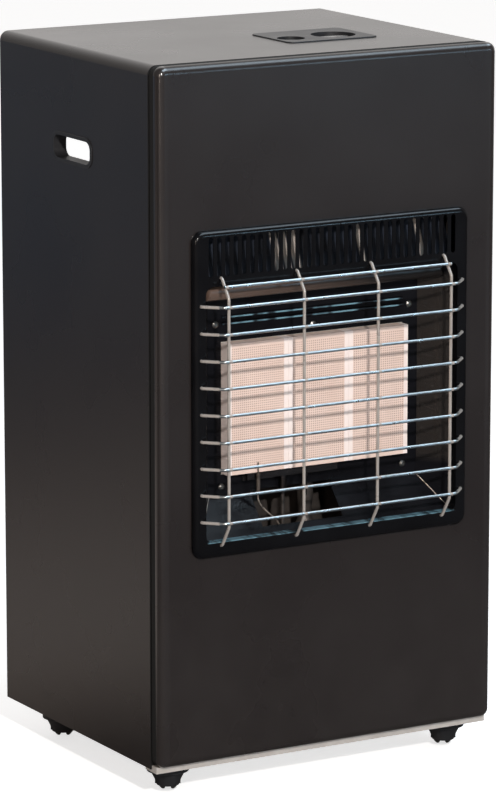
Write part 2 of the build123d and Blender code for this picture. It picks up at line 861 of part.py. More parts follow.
with BuildPart() as mixing_tubes:
    for x in tube_x:
        throat_z = tube_base + throat_rise
        with BuildSketch(Plane(origin=(x, tube_y, 0), x_dir=(1, 0, 0), z_dir=(0, -1, 0))):
            with BuildLine():
                Polyline(
                    (tube_bore, burner_base), (tube_collar_radius, burner_base),
                    (tube_collar_radius, burner_base - 2 * pan_sheet),
                    (tube_radius, burner_base - 2 * pan_sheet), (tube_radius, throat_z + throat_rise),
                    (throat_radius + pan_sheet, throat_z),
                )
                ThreePointArc(
                    (throat_radius + pan_sheet, throat_z),
                    (throat_radius + pan_sheet + bell_flare, tube_base + throat_rise / 3),
                    (bell_radius + pan_sheet, tube_base),
                )
                Line((bell_radius + pan_sheet, tube_base), (bell_radius, tube_base))
                ThreePointArc(
                    (bell_radius, tube_base), (throat_radius + bell_flare, tube_base + throat_rise / 3),
                    (throat_radius, throat_z),
                )
                Polyline(
                    (throat_radius, throat_z), (tube_bore, throat_z + throat_rise),
                    (tube_bore, burner_base),
                )
            make_face()
        revolve(axis=Axis((x, tube_y, 0), (0, 0, 1)))
keep(mixing_tubes, "mixing_tubes")

shield_top = fascia_base + fascia_height + shield_rise
shield_height = shield_top - shield_base
shield_front = y_body + sheet
shield_back = shield_front + shield_depth
rail_base = shield_base + pan_sheet
with BuildPart() as injector_rail:
    with BuildSketch(level(rail_base)):
        with Locations((0, tube_y)):
            Rectangle(rail_length, rail_width)
    extrude(amount=rail_height)
    fillet(injector_rail.edges().filter_by(Axis.X), pan_sheet)
    for x in tube_x:
        with BuildSketch(level(rail_base + rail_height)):
            with Locations((x, tube_y)):
                Circle(injector_radius - injector_step)
        extrude(amount=-rail_height / 2, mode=Mode.SUBTRACT)
keep(injector_rail, "injector_rail")

with BuildPart() as injectors:
    injector_foot = rail_base + rail_height / 2
    injector_seat = rail_base + rail_height
    for x in tube_x:
        with BuildSketch(Plane(origin=(x, tube_y, 0), x_dir=(1, 0, 0), z_dir=(0, -1, 0))):
            with BuildLine():
                Polyline(
                    (0, injector_foot), (injector_radius - injector_step, injector_foot),
                    (injector_radius - injector_step, injector_seat), (injector_radius, injector_seat),
                    (injector_radius, injector_seat + injector_height / 2),
                    (injector_radius / 3, injector_seat + injector_height),
                    (0, injector_seat + injector_height), close=True,
                )
            make_face()
        revolve(axis=Axis((x, tube_y, 0), (0, 0, 1)))
keep(injectors, "injectors")

with BuildPart() as heat_shield:
    with BuildSketch(level(shield_base)):
        with Locations((0, shield_front)):
            Rectangle(shield_width, shield_depth, align=(Align.CENTER, Align.MIN))
    extrude(amount=shield_height)
    with BuildSketch(level(shield_base + pan_sheet)):
        with Locations((0, shield_front)):
            Rectangle(
                shield_width - 2 * pan_sheet, shield_depth - pan_sheet, align=(Align.CENTER, Align.MIN)
            )
    extrude(amount=shield_height, mode=Mode.SUBTRACT)
    with BuildSketch(facing(shield_front + pan_sheet)):
        for sign in (-1, 1):
            with Locations((sign * (shield_width + shield_flange - pan_sheet) / 2, shield_base)):
                Rectangle(shield_flange + pan_sheet, shield_height, align=(Align.CENTER, Align.MIN))
    extrude(amount=pan_sheet)
keep(heat_shield, "heat_shield")

with BuildPart() as top_shield:
    fall_front = depth(fascia_collar) + clear
    with BuildSketch(side(0)):
        with BuildLine():
            Polyline(
                (shield_back + pan_sheet, shield_top - top_shield_lip),
                (shield_back + pan_sheet, shield_top + pan_sheet),
                (shield_back - pan_sheet, shield_top + pan_sheet),
                (fall_front, shield_top - shield_rise),
                (fall_front, shield_top - shield_rise - pan_sheet),
                (shield_back - pan_sheet, shield_top), (shield_back, shield_top),
                (shield_back, shield_top - top_shield_lip), close=True,
            )
        make_face()
    extrude(amount=top_shield_width / 2, both=True)
keep(top_shield, "top_shield")


def pan_head_screw(x, seat, z, outward):
    """Pan head screw along Y: its head stands on seat and points outward."""
    with BuildPart() as screw:
        with BuildSketch(Plane(origin=(x, seat, z), x_dir=(0, outward, 0), z_dir=(1, 0, 0))):
            with BuildLine():
                Polyline(
                    (-screw_length, 0), (-screw_length, screw_shank_radius), (0, screw_shank_radius),
                    (0, screw_head_radius), (screw_head_height / 2, screw_head_radius),
                    (screw_head_height, screw_head_radius / 2), (screw_head_height, 0), close=True,
                )
            make_face()
        revolve(axis=Axis((x, seat, z), (0, 1, 0)))
    return screw.part


with BuildPart() as burner_screws:
    for screw_x, screw_z in screw_spots:
        add(pan_head_screw(screw_x, pan_back, screw_z, -1))
keep(burner_screws, "burner_screws")

with BuildPart() as rail_screws:
    for screw_x in (-hook_x, hook_x):
        add(pan_head_screw(screw_x, y_rear, rail_z, 1))
keep(rail_screws, "rail_screws")

# ---------------------------------------------------------------- pilot

bracket_top = plaque_base - bracket_drop
with BuildPart() as pilot_bracket:
    bracket_front = depth(plaque_face) + pan_sheet
    with BuildSketch(side(bracket_left)):
        with BuildLine():
            Polyline(
                (pan_back, bracket_top), (bracket_front, bracket_top),
                (bracket_front, bracket_top - bracket_lip),
                (bracket_front + pan_sheet, bracket_top - bracket_lip),
                (bracket_front + pan_sheet, bracket_top - pan_sheet),
                (pan_back - pan_sheet, bracket_top - pan_sheet),
                (pan_back - pan_sheet, bracket_top - bracket_flange),
                (pan_back, bracket_top - bracket_flange), close=True,
            )
        make_face()
    extrude(amount=bracket_right - bracket_left)
    bracket_hole_y = (bracket_front + pan_back) / 2
    with BuildSketch(level(bracket_top - pan_sheet)):
        for hole_x, hole_radius in (
            (pilot_x, pilot_radius - socket_step),
            (thermocouple_x, thermocouple_radius - socket_step),
        ):
            with Locations((hole_x, bracket_hole_y)):
                Circle(hole_radius)
    extrude(amount=pan_sheet, mode=Mode.SUBTRACT)
keep(pilot_bracket, "pilot_bracket")


def turned(x, y, *profile):
    """Piece turned about an upright axis, from its (radius, height) points."""
    with BuildPart() as piece:
        with BuildSketch(Plane(origin=(x, y, 0), x_dir=(1, 0, 0), z_dir=(0, -1, 0))):
            with BuildLine():
                Polyline((0, profile[0][1]), *profile, (0, profile[-1][1]), close=True)
            make_face()
        revolve(axis=Axis((x, y, 0), (0, 0, 1)))
    return piece.part


pilot_seat = bracket_top - pan_sheet
pilot_foot = pilot_seat - pilot_length
with BuildPart() as pilot_burner:
    add(turned(
        pilot_x, bracket_hole_y,
        (pilot_neck_radius, pilot_foot), (pilot_neck_radius, pilot_foot + pilot_neck_length),
        (pilot_radius, pilot_foot + pilot_neck_length), (pilot_radius, pilot_seat),
        (pilot_radius - socket_step, pilot_seat), (pilot_radius - socket_step, bracket_top),
    ))
keep(pilot_burner, "pilot_burner")

with BuildPart() as thermocouple:
    probe_radius = thermocouple_radius - socket_step
    add(turned(
        thermocouple_x, bracket_hole_y,
        (probe_radius, pilot_seat - thermocouple_length), (probe_radius, pilot_seat - thermocouple_nut),
        (thermocouple_radius, pilot_seat - thermocouple_nut), (thermocouple_radius, pilot_seat),
        (probe_radius, pilot_seat), (probe_radius, bracket_top),
    ))
keep(thermocouple, "thermocouple")

with BuildPart() as igniter_electrode:
    electrode_y = bracket_front - electrode_radius
    add(turned(
        electrode_x, electrode_y,
        (electrode_radius, bracket_top - electrode_length), (electrode_radius, bracket_top),
        (electrode_wire, bracket_top), (electrode_wire, bracket_top + electrode_reach),
    ))
keep(igniter_electrode, "igniter_electrode")

# ---------------------------------------------------------------- wire guard

with BuildPart() as wire_guard:
    for x in uprights:
        with BuildLine() as upright:
            FilletPolyline(
                (x, tip_end, top_tip), (x, upright_y + leg_run - wire, top_tip),
                (x, upright_y, top_bend), (x, upright_y, bottom_bend),
                (x, upright_y + leg_run - wire, bottom_tip), (x, tip_end, bottom_tip),
                radius=bend_radius,
            )
        with BuildSketch(Plane(origin=upright.line @ 0, z_dir=upright.line % 0)):
            Circle(wire / 2)
        sweep()
    for z in crosswires:
        with BuildLine() as crosswire:
            FilletPolyline(
                (-tip_x, tip_end, z), (-tip_x, tip_start, z), (-corner_x, guard_front, z),
                (corner_x, guard_front, z), (tip_x, tip_start, z), (tip_x, tip_end, z),
                radius=bend_radius,
            )
        with BuildSketch(Plane(origin=crosswire.line @ 0, z_dir=crosswire.line % 0)):
            Circle(wire / 2)
        sweep()
    # short top wire, halfway up the sloping legs and square off them
    slope_run = leg_run - wire
    slope_length = hypot(slope_run, leg_rise)
    slope_y = upright_y + slope_run / 2 - (wire + weld_gap) * leg_rise / slope_length
    slope_z = (top_bend + top_tip) / 2 + (wire + weld_gap) * slope_run / slope_length
    with BuildSketch(side(-corner_x + wire)):
        with Locations((slope_y, slope_z)):
            Circle(wire / 2)
    extrude(amount=2 * (corner_x - wire))
keep(wire_guard, "wire_guard")

# ---------------------------------------------------------------- controls

with BuildPart() as control_bezel:
    with BuildSketch(level(z_top)):
        with Locations((bezel_x, bezel_y)):
            RectangleRounded(bezel_length, bezel_depth, bezel_corner)
    extrude(amount=bezel_plate)
    fillet(control_bezel.faces().sort_by(Axis.Z)[-1].edges(), bezel_plate / 2)
    with BuildSketch(level(z_top)):
        with Locations((bezel_x, bezel_y)):
            RectangleRounded(
                bezel_length - 2 * (bezel_lap + clear), bezel_depth - 2 * (bezel_lap + clear),
                bezel_corner - bezel_lap - clear,
            )
    extrude(amount=-bezel_collar)
    with BuildSketch(level(z_top)):
        with Locations((bezel_x, bezel_y)):
            RectangleRounded(
                bezel_length - 2 * (bezel_lap + clear + bezel_wall),
                bezel_depth - 2 * (bezel_lap + clear + bezel_wall),
                bezel_corner - bezel_lap - clear - bezel_wall,
            )
    extrude(amount=-bezel_collar, mode=Mode.SUBTRACT)
    # wells round the knob and the button
    for well_x, well_y, well_radius, floor, hole in (
        (knob_x, knob_y, knob_well_radius, knob_floor, sleeve_radius + clear),
        (button_x, button_y, button_well_radius, button_floor, button_stem_radius + clear),
    ):
        with BuildSketch(level(floor - bezel_wall)):
            with Locations((well_x, well_y)):
                Circle(well_radius + bezel_wall)
        extrude(amount=z_top - floor + bezel_wall)
        with BuildSketch(level(floor)):
            with Locations((well_x, well_y)):
                Circle(well_radius)
        extrude(amount=z_top - floor + bezel_plate, mode=Mode.SUBTRACT)
        with BuildSketch(level(floor - bezel_wall)):
            with Locations((well_x, well_y)):
                Circle(hole)
        extrude(amount=bezel_wall, mode=Mode.SUBTRACT)
keep(control_bezel, "control_bezel")

knob_base = knob_floor + knob_floor_gap
grip_top = z_top - knob_sink
spindle_top = grip_top - grip_cap
with BuildPart() as control_knob:
    add(turned(
        knob_x, knob_y, (knob_radius, knob_base), (knob_radius, knob_base + knob_skirt - knob_edge),
        (knob_radius - knob_edge, knob_base + knob_skirt),
    ))
    with BuildSketch(level(knob_base)):
        with Locations((knob_x, knob_y)):
            SlotOverall(2 * (knob_radius - grip_inset), knob_grip_width)
    extrude(amount=grip_top - knob_base)
    fillet(control_knob.faces().sort_by(Axis.Z)[-1].edges(), grip_edge)
    # pointer groove along one half of the grip
    with BuildSketch(level(grip_top - pointer_depth)):
        with Locations((knob_x + knob_radius - grip_inset - pointer_length / 2, knob_y)):
            Rectangle(pointer_length, pointer_width)
    extrude(amount=pointer_depth, mode=Mode.SUBTRACT)
    with BuildSketch(level(knob_base)):
        with Locations((knob_x, knob_y)):
            Circle(spindle_radius)
    extrude(amount=spindle_top - knob_base, mode=Mode.SUBTRACT)
keep(control_knob, "control_knob")

sleeve_base = valve_top - sleeve_seat
with BuildPart() as valve_spindle:
    with BuildSketch(level(sleeve_base)):
        with Locations((knob_x, knob_y)):
            Circle(spindle_radius)
    extrude(amount=spindle_top - sleeve_base)
keep(valve_spindle, "valve_spindle")

with BuildPart() as valve_sleeve:
    with BuildSketch(level(sleeve_base)):
        with Locations((knob_x, knob_y)):
            Circle(sleeve_radius)
            Circle(spindle_radius + fit, mode=Mode.SUBTRACT)
    extrude(amount=knob_base - clear - sleeve_base)
keep(valve_sleeve, "valve_sleeve")

valve_front = knob_y - valve_width / 2
valve_rear = knob_y + valve_width / 2
outlet_z = valve_top - outlet_drop
with BuildPart() as gas_valve:
    with BuildSketch(level(valve_top - valve_height)):
        with Locations((knob_x, knob_y)):
            Rectangle(valve_length, valve_width)
    extrude(amount=valve_height)
    fillet(gas_valve.edges().filter_by(Axis.Z), valve_edge)
    # outlets towards the burner, inlet boss towards the cylinder
    with BuildSketch(facing(valve_front + pan_sheet)):
        with Locations(*[(knob_x + (i - 1) * outlet_pitch, outlet_z) for i in range(3)]):
            Circle(outlet_radius)
    extrude(amount=outlet_length + pan_sheet)
    with BuildSketch(facing(valve_rear - pan_sheet)):
        with Locations((knob_x, outlet_z)):
            Circle(inlet_radius)
    extrude(amount=-(inlet_length + pan_sheet))
    with BuildSketch(level(valve_top)):
        with Locations((knob_x, knob_y)):
            Circle(sleeve_radius + clear)
    extrude(amount=-(sleeve_seat + knob_travel + sleeve_play), mode=Mode.SUBTRACT)
keep(gas_valve, "gas_valve")

nozzle_start = valve_rear + inlet_length
with BuildPart() as hose_nozzle:
    with BuildSketch(facing(nozzle_start)):
        with Locations((knob_x, outlet_z)):
            RegularPolygon(nozzle_nut_radius, 6)
    extrude(amount=-nozzle_nut_length)
    with BuildSketch(facing(nozzle_start + nozzle_nut_length)):
        with Locations((knob_x, outlet_z)):
            Circle(nozzle_radius)
    extrude(amount=-nozzle_length)
    chamfer(hose_nozzle.faces().sort_by(Axis.Y)[-1].edges(), nozzle_nose)
    with BuildSketch(facing(nozzle_start)):
        with Locations((knob_x, outlet_z)):
            Circle(nozzle_radius / 2)
    extrude(amount=-(nozzle_nut_length + nozzle_length), mode=Mode.SUBTRACT)
keep(hose_nozzle, "hose_nozzle")

with BuildPart() as gas_pipes:
    for i in range(3):
        start_x = knob_x + (i - 1) * outlet_pitch
        run_y = tube_y + (i - 1) * pipe_pitch
        pipe_z = rail_base + rail_height / 2
        with BuildLine() as pipe_path:
            FilletPolyline(
                (start_x, valve_front - outlet_length, outlet_z), (start_x, run_y, outlet_z),
                (pipe_run_x, run_y, outlet_z), (pipe_run_x, run_y, pipe_z),
                (rail_length / 2, run_y, pipe_z),
                radius=pipe_bend,
            )
        with BuildSketch(Plane(origin=pipe_path.line @ 0, z_dir=pipe_path.line % 0)):
            Circle(pipe_radius)
        sweep()
keep(gas_pipes, "gas_pipes")

with BuildPart() as pilot_pipe:
    with BuildLine() as pilot_path:
        FilletPolyline(
            (pilot_x, bracket_hole_y, pilot_foot), (pilot_x, bracket_hole_y, pilot_pipe_base),
            (pilot_pipe_x, bracket_hole_y, pilot_pipe_base),
            (pilot_pipe_x, bracket_hole_y, pilot_pipe_top), (pilot_pipe_x, knob_y, pilot_pipe_top),
            (knob_x + valve_length / 2, knob_y, pilot_pipe_top),
            radius=pilot_pipe_bend,
        )
    with BuildSketch(Plane(origin=pilot_path.line @ 0, z_dir=pilot_path.line % 0)):
        Circle(pilot_pipe_radius)
    sweep()
keep(pilot_pipe, "pilot_pipe")

with BuildPart() as valve_bracket:
    bracket_half = valve_bracket_width / 2
    underside = z_top - sheet
    strap_left = bezel_x - bracket_half
    strap_right = bezel_x + bracket_half
    with BuildSketch(facing(bezel_y + valve_bracket_depth / 2)):
        with BuildLine():
            Polyline(
                (strap_left - valve_bracket_foot, underside), (strap_left, underside),
                (strap_left, valve_top + bracket_plate), (strap_right, valve_top + bracket_plate),
                (strap_right, underside), (strap_right + valve_bracket_foot, underside),
                (strap_right + valve_bracket_foot, underside - bracket_plate),
                (strap_right + bracket_plate, underside - bracket_plate),
                (strap_right + bracket_plate, valve_top), (strap_left - bracket_plate, valve_top),
                (strap_left - bracket_plate, underside - bracket_plate),
                (strap_left - valve_bracket_foot, underside - bracket_plate), close=True,
            )
        make_face()
    extrude(amount=valve_bracket_depth)
    with BuildSketch(level(valve_top)):
        with Locations((knob_x, knob_y)):
            Circle(sleeve_radius + clear)
        with Locations((button_x, button_y)):
            Circle(piezo_radius + clear)
    extrude(amount=bracket_plate, mode=Mode.SUBTRACT)
keep(valve_bracket, "valve_bracket")

piezo_top = button_floor - bezel_wall
with BuildPart() as piezo_igniter:
    terminal_top = piezo_top - piezo_length + piezo_terminal
    add(turned(
        button_x, button_y,
        (piezo_radius - piezo_step, piezo_top - piezo_length),
        (piezo_radius - piezo_step, terminal_top), (piezo_radius, terminal_top),
        (piezo_radius, piezo_top - piezo_flange), (piezo_radius + piezo_step, piezo_top - piezo_flange),
        (piezo_radius + piezo_step, piezo_top),
    ))
    with BuildSketch(level(piezo_top)):
        with Locations((button_x, button_y)):
            Circle(button_stem_radius + clear)
    extrude(amount=-(button_travel + piezo_bore_play), mode=Mode.SUBTRACT)
keep(piezo_igniter, "piezo_igniter")

with BuildPart() as igniter_button:
    button_top = z_top - button_sink
    cap_base = button_floor + button_travel + button_cap_gap
    add(turned(
        button_x, button_y,
        (button_stem_radius, piezo_top - button_engage), (button_stem_radius, cap_base),
        (button_radius, cap_base), (button_radius, button_top - button_edge),
        (button_radius - button_edge, button_top),
    ))
    # finger dish in the cap
    dish_radius = button_radius - dish_inset
    dish_floor = button_top - dish_depth
    with BuildSketch(Plane(origin=(button_x, button_y, 0), x_dir=(1, 0, 0), z_dir=(0, -1, 0))):
        with BuildLine():
            ThreePointArc(
                (0, dish_floor), (dish_radius / 2, dish_floor + dish_depth / 4),
                (dish_radius, button_top),
            )
            Polyline((dish_radius, button_top), (0, button_top), (0, dish_floor))
        make_face()
    revolve(axis=Axis((button_x, button_y, 0), (0, 0, 1)), mode=Mode.SUBTRACT)
keep(igniter_button, "igniter_button")

# ---------------------------------------------------------------- rear cover

cover_width = cabinet_width - 2 * cover_side_inset
cover_height = cover_top - cover_base
cover_mid = cover_base + cover_height / 2
cover_front = y_rear + clear
foot_width = cabinet_width - 2 * (rear_return + bulge_margin)
foot_height = cover_height - 2 * bulge_margin
crown_width = foot_width - 2 * bulge_slope
crown_height = foot_height - 2 * bulge_slope
with BuildPart() as rear_cover:
    with BuildSketch(facing(cover_front + sheet)):
        with Locations((0, cover_mid)):
            RectangleRounded(cover_width, cover_height, cover_corner)
    extrude(amount=sheet)
    # pressed bulge that gives the cylinder its room
    with BuildSketch(facing(cover_front)):
        with Locations((0, cover_mid)):
            RectangleRounded(foot_width, foot_height, bulge_corner)
    with BuildSketch(facing(y_cover)):
        with Locations((0, cover_mid)):
            RectangleRounded(crown_width, crown_height, bulge_corner)
    loft(ruled=True)
    with BuildSketch(facing(cover_front)):
        with Locations((0, cover_mid)):
            RectangleRounded(foot_width - 2 * sheet, foot_height - 2 * sheet, bulge_corner - sheet)
    with BuildSketch(facing(y_cover - sheet)):
        with Locations((0, cover_mid)):
            RectangleRounded(crown_width - 2 * sheet, crown_height - 2 * sheet, bulge_corner - sheet)
    loft(ruled=True, mode=Mode.SUBTRACT)
    # air slots low in the bulge
    with BuildSketch(facing(y_cover)):
        with Locations((0, cover_vent_z)):
            with GridLocations(cover_vent_spacing, cover_vent_pitch, cover_vent_columns, cover_vent_rows):
                SlotOverall(cover_vent_length, cover_vent_width)
    extrude(amount=2 * sheet, mode=Mode.SUBTRACT)
    # hooks: a neck through the cabinet's slot and a leg down behind its return
    leg_back = y_rear - sheet - clear
    for sign in (-1, 1):
        for hook_z in (hook_low, hook_high):
            with BuildSketch(side(sign * hook_x - hook_width / 2)):
                with BuildLine():
                    Polyline(
                        (cover_front + sheet, hook_z + hook_neck / 2),
                        (leg_back - sheet, hook_z + hook_neck / 2),
                        (leg_back - sheet, hook_z - hook_neck / 2 - hook_leg),
                        (leg_back, hook_z - hook_neck / 2 - hook_leg), (leg_back, hook_z - hook_neck / 2),
                        (cover_front + sheet, hook_z - hook_neck / 2), close=True,
                    )
                make_face()
            extrude(amount=hook_width)
keep(rear_cover, "rear_cover")

# ---------------------------------------------------------------- castors

plate_base = tray_floor - castor_plate_thickness
fork_top = plate_base - clear
with BuildPart() as castor_plates:
    for x, y in castor_spots:
        with BuildSketch(level(plate_base)):
            with Locations((x, y)):
                RectangleRounded(castor_plate_length, castor_plate_length, castor_plate_corner)
                Circle(stem_radius + fit, mode=Mode.SUBTRACT)
        extrude(amount=castor_plate_thickness)
keep(castor_plates, "castor_plates")

# One castor, modelled at the origin with its wheels trailing towards +Y
bay_radius = wheel_radius + wheel_bay_clear
with BuildPart() as fork_form:
    # bowl round the swivel axis, with a rim that stands out
    rim_top = castor_rim_base + castor_rim_height
    bowl_radius = castor_hood_radius - castor_rim_lip
    with BuildSketch(facing(0)):
        with BuildLine():
            Polyline(
                (boss_radius, castor_hood_top), (0, castor_hood_top), (0, castor_hood_base),
                (castor_hood_foot, castor_hood_base),
            )
            ThreePointArc(
                (castor_hood_foot, castor_hood_base),
                (castor_hood_foot + castor_hood_bow, (castor_hood_base + castor_rim_base) / 2),
                (bowl_radius, castor_rim_base - castor_rim_fall),
            )
            Polyline(
                (bowl_radius, castor_rim_base - castor_rim_fall),
                (castor_hood_radius, castor_rim_base), (castor_hood_radius, rim_top),
            )
            ThreePointArc(
                (castor_hood_radius, rim_top),
                (bowl_radius, (rim_top + castor_hood_top) / 2 + castor_rim_fall),
                (boss_radius, castor_hood_top),
            )
        make_face()
    revolve(axis=Axis.Z)
    # fender over the wheels, down to a little below the axle
    with BuildSketch(side(-fork_half_width)):
        with Locations((castor_trail, wheel_radius)):
            Circle(bay_radius + hood_skin)
            with Locations((0, -wheel_radius)):
                Rectangle(
                    4 * wheel_radius, 2 * (wheel_radius - axle_radius - fork_end_drop),
                    mode=Mode.SUBTRACT,
                )
    extrude(amount=2 * fork_half_width)
    with BuildSketch(level(wheel_radius)):
        Circle(boss_radius)
    extrude(amount=fork_top - wheel_radius)
    for sign in (-1, 1):
        with BuildSketch(side(sign * web_half)):
            with Locations((castor_trail, wheel_radius)):
                Circle(bay_radius)
        extrude(amount=sign * fork_half_width, mode=Mode.SUBTRACT)
    with BuildSketch(side(-web_half)):
        with Locations((castor_trail, wheel_radius)):
            Circle(axle_radius)
    extrude(amount=2 * web_half, mode=Mode.SUBTRACT)
    with BuildSketch(level(fork_top)):
        Circle(stem_radius)
    extrude(amount=castor_plate_thickness + 2 * clear)
    with BuildSketch(level(tray_floor + clear)):
        Circle(rivet_radius)
    extrude(amount=rivet_height)

with BuildPart() as wheels_form:
    wheel_inner = web_half + wheel_side_gap
    wheel_outer = wheel_inner + wheel_width
    wheel_bore = axle_radius + fit
    tread_end = wheel_inner + wheel_tread
    dome_x = wheel_inner + wheel_dome_reach
    for sign in (-1, 1):
        hub_plane = Plane(
            origin=(0, castor_trail, wheel_radius), x_dir=(sign, 0, 0), z_dir=(0, -sign, 0)
        )
        with BuildSketch(hub_plane):
            with BuildLine():
                Polyline(
                    (tread_end, wheel_radius), (wheel_inner + wheel_edge, wheel_radius),
                    (wheel_inner, wheel_radius - wheel_edge), (wheel_inner, wheel_bore),
                    (wheel_outer, wheel_bore), (wheel_outer, wheel_bore + wheel_hub),
                )
                ThreePointArc(
                    (wheel_outer, wheel_bore + wheel_hub), (dome_x, wheel_dome_radius),
                    (tread_end, wheel_radius),
                )
            make_face()
        revolve(axis=Axis((0, castor_trail, wheel_radius), (1, 0, 0)))

with BuildPart() as axle_form:
    axle_half = wheel_outer + clear
    with BuildSketch(side(-axle_half)):
        with Locations((castor_trail, wheel_radius)):
            Circle(axle_radius)
    extrude(amount=2 * axle_half)
    for sign in (-1, 1):
        with BuildSketch(side(sign * axle_half)):
            with Locations((castor_trail, wheel_radius)):
                Circle(axle_head_radius)
        extrude(amount=sign * axle_head_height)


def placed(form, x, y):
    """Copy of a castor piece at one corner, turned to the heading of the castors."""
    with BuildPart() as copy:
        with Locations(Location((x, y, 0), (0, 0, -castor_heading))):
            add(form.part)
    return copy


corner_names = ("front_left", "front_right", "rear_left", "rear_right")
for corner_name, (x, y) in zip(corner_names, castor_spots):
    keep(placed(fork_form, x, y), f"castor_fork_{corner_name}")
    keep(placed(wheels_form, x, y), f"castor_wheels_{corner_name}")
    keep(placed(axle_form, x, y), f"castor_axle_{corner_name}")
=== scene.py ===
import json
import math

import bmesh
import bpy
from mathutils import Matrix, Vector


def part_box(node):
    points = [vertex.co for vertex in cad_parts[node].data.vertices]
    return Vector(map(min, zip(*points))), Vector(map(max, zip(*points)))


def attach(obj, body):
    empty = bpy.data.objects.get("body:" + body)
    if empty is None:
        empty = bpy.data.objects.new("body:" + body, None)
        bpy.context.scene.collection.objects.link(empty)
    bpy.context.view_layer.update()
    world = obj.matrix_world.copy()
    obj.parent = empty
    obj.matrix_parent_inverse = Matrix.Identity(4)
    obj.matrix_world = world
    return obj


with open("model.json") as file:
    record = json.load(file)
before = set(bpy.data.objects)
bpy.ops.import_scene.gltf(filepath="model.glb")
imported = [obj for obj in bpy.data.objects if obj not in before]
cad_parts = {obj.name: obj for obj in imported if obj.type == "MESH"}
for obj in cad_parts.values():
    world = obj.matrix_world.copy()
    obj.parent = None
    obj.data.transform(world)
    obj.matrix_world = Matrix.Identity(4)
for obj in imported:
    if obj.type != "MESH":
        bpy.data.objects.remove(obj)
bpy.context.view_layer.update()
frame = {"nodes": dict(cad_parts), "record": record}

# Gas cabinet heater: finishes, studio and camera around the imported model.
# Metres, +Z up, burner towards -Y.

# ---------------------------------------------------------------- studio values

camera_place = Vector((-2.3915, -4.1372, 1.3777))
camera_yaw = math.radians(30.178)
camera_pitch = math.radians(11.835)
camera_reach = 60.0
focal_pixels = 4500.0
frame_height_pixels = 800.0
sensor_size = 36.0

floor_size = 14.0
floor_colour = (0.80, 0.80, 0.80)
floor_roughness = 0.9
floor_lift = 0.68               # added to the floor for the camera alone, so that it reads as white
# What glossy surfaces see of the floor: distance behind the heater (Y), colour
floor_mirror = (
    (-3.5, (0.22, 0.21, 0.21)),
    (-0.7, (0.08, 0.075, 0.075)),
    (0.0, (0.10, 0.09, 0.085)),
    (0.35, (0.66, 0.58, 0.53)),
    (0.9, (0.60, 0.51, 0.46)),
    (1.7, (0.24, 0.22, 0.23)),
    (3.0, (0.26, 0.36, 0.50)),
    (4.5, (0.30, 0.42, 0.60)),
)

surround_colour = (1.0, 0.967, 0.945)
surround_level = 1.0            # backdrop
surround_dark = 0.16            # share of that level on the side away from the backdrop
surround_fade = (0.38, 0.85)    # how far off the backdrop the level falls and is full, as a cosine
backdrop_direction = (0.50, 0.84, 0.20)

# Lamps: name, place, target, width, height, power, colour
lamps = (
    ("front_key", (-0.97, -3.07, 1.77), (0.0, -0.2, 0.4), 0.11, 0.11, 78.0, (1.0, 0.96, 0.93)),
    ("overhead", (0.9, -0.9, 2.8), (0.0, 0.0, 0.4), 2.4, 1.0, 48.0, (0.72, 0.87, 1.0)),
    ("cool_strip", (1.75, -3.1, 0.95), (0.0, -0.2, 0.45), 0.5, 0.3, 8.0, (0.50, 0.78, 1.0)),
    ("warm_side", (-2.2, -2.4, 1.1), (0.0, -0.2, 0.6), 0.35, 1.3, 15.0, (1.0, 0.84, 0.73)),
)

# ---------------------------------------------------------------- heater values

# Burner plaques
burner_hole_pitch = 0.0024
burner_hole_radius = 0.28       # as a share of the pitch
plaque_margin = 0.005
plaque_joint = 0.0006
paste_inset = 0.0005
paste_depth = 0.0004

# Reflector pan
pan_sheet = 0.001
pan_depth = 0.031               # from the front edge of the pan to its back plate
back_plate_half = 0.1275
back_plate_foot = 0.313
seam_radius = 0.0006
bead_crests = (0.4975, 0.5045)  # heights of the pressed beads
bead_half = 0.110
cheek_middle = 0.430            # height of the middle of the plaques' light on the cheeks
cheek_half = 0.095
cheek_start = 0.001             # past the back plate

# Electrode rod, as steps from the foot of the igniter electrode
rod_radius = 0.0009
rod_steps = (
    (0.0, 0.0, 0.0002),
    (-0.001, 0.0, -0.006),
    (0.002, -0.001, -0.014),
    (0.012, -0.002, -0.024),
    (0.024, -0.003, -0.034),
    (0.030, 0.002, -0.048),
)

# Front panel and fascia: (middle, half width) of the strips that differ in finish, painted shade or painted
# reflection
shadow_gap = (-0.1805, 0.0058)  # Y of the gap behind the front panel, with the turned edges
glossy_edge = (0.2000, 0.0055)  # either side, across
# painted reflection on the fascia's turned edge beside the end plaque: across, depth and height
reflection_strip_across = (-0.1530, 0.0022)
reflection_strip_depth = (-0.1870, 0.0030)
reflection_strip_height = (0.417, 0.068)
fascia_fold = 0.2770            # height of the fold at the foot of the opening
fold_half = 0.148

# Louvre deflector: (middle, half width) of its painted reflections, pale patches, across
reflection_patches = ((-0.057, 0.003), (-0.046, 0.0025), (-0.035, 0.0035), (0.045, 0.002), (0.118, 0.002))

# Hood: where its painted brown reflection has faded out, as a share of the right-hand end
reflection_reach = 0.55

# Wire guard
upright_places = (-0.135, -0.045, 0.045, 0.135)
upright_half = 0.0018
guard_corner = 0.1462

# ---------------------------------------------------------------- shader groups


def new_group(name, inputs, outputs):
    """Empty shader group with its sockets: (name, type, default) in and (name, type) out."""
    group = bpy.data.node_groups.new(name, "ShaderNodeTree")
    for label, kind, default in inputs:
        socket = group.interface.new_socket(name=label, in_out="INPUT", socket_type=kind)
        if default is not None:
            socket.default_value = default
    for label, kind in outputs:
        group.interface.new_socket(name=label, in_out="OUTPUT", socket_type=kind)
    group_in = group.nodes.new("NodeGroupInput")
    group_out = group.nodes.new("NodeGroupOutput")
    return group, group_in, group_out


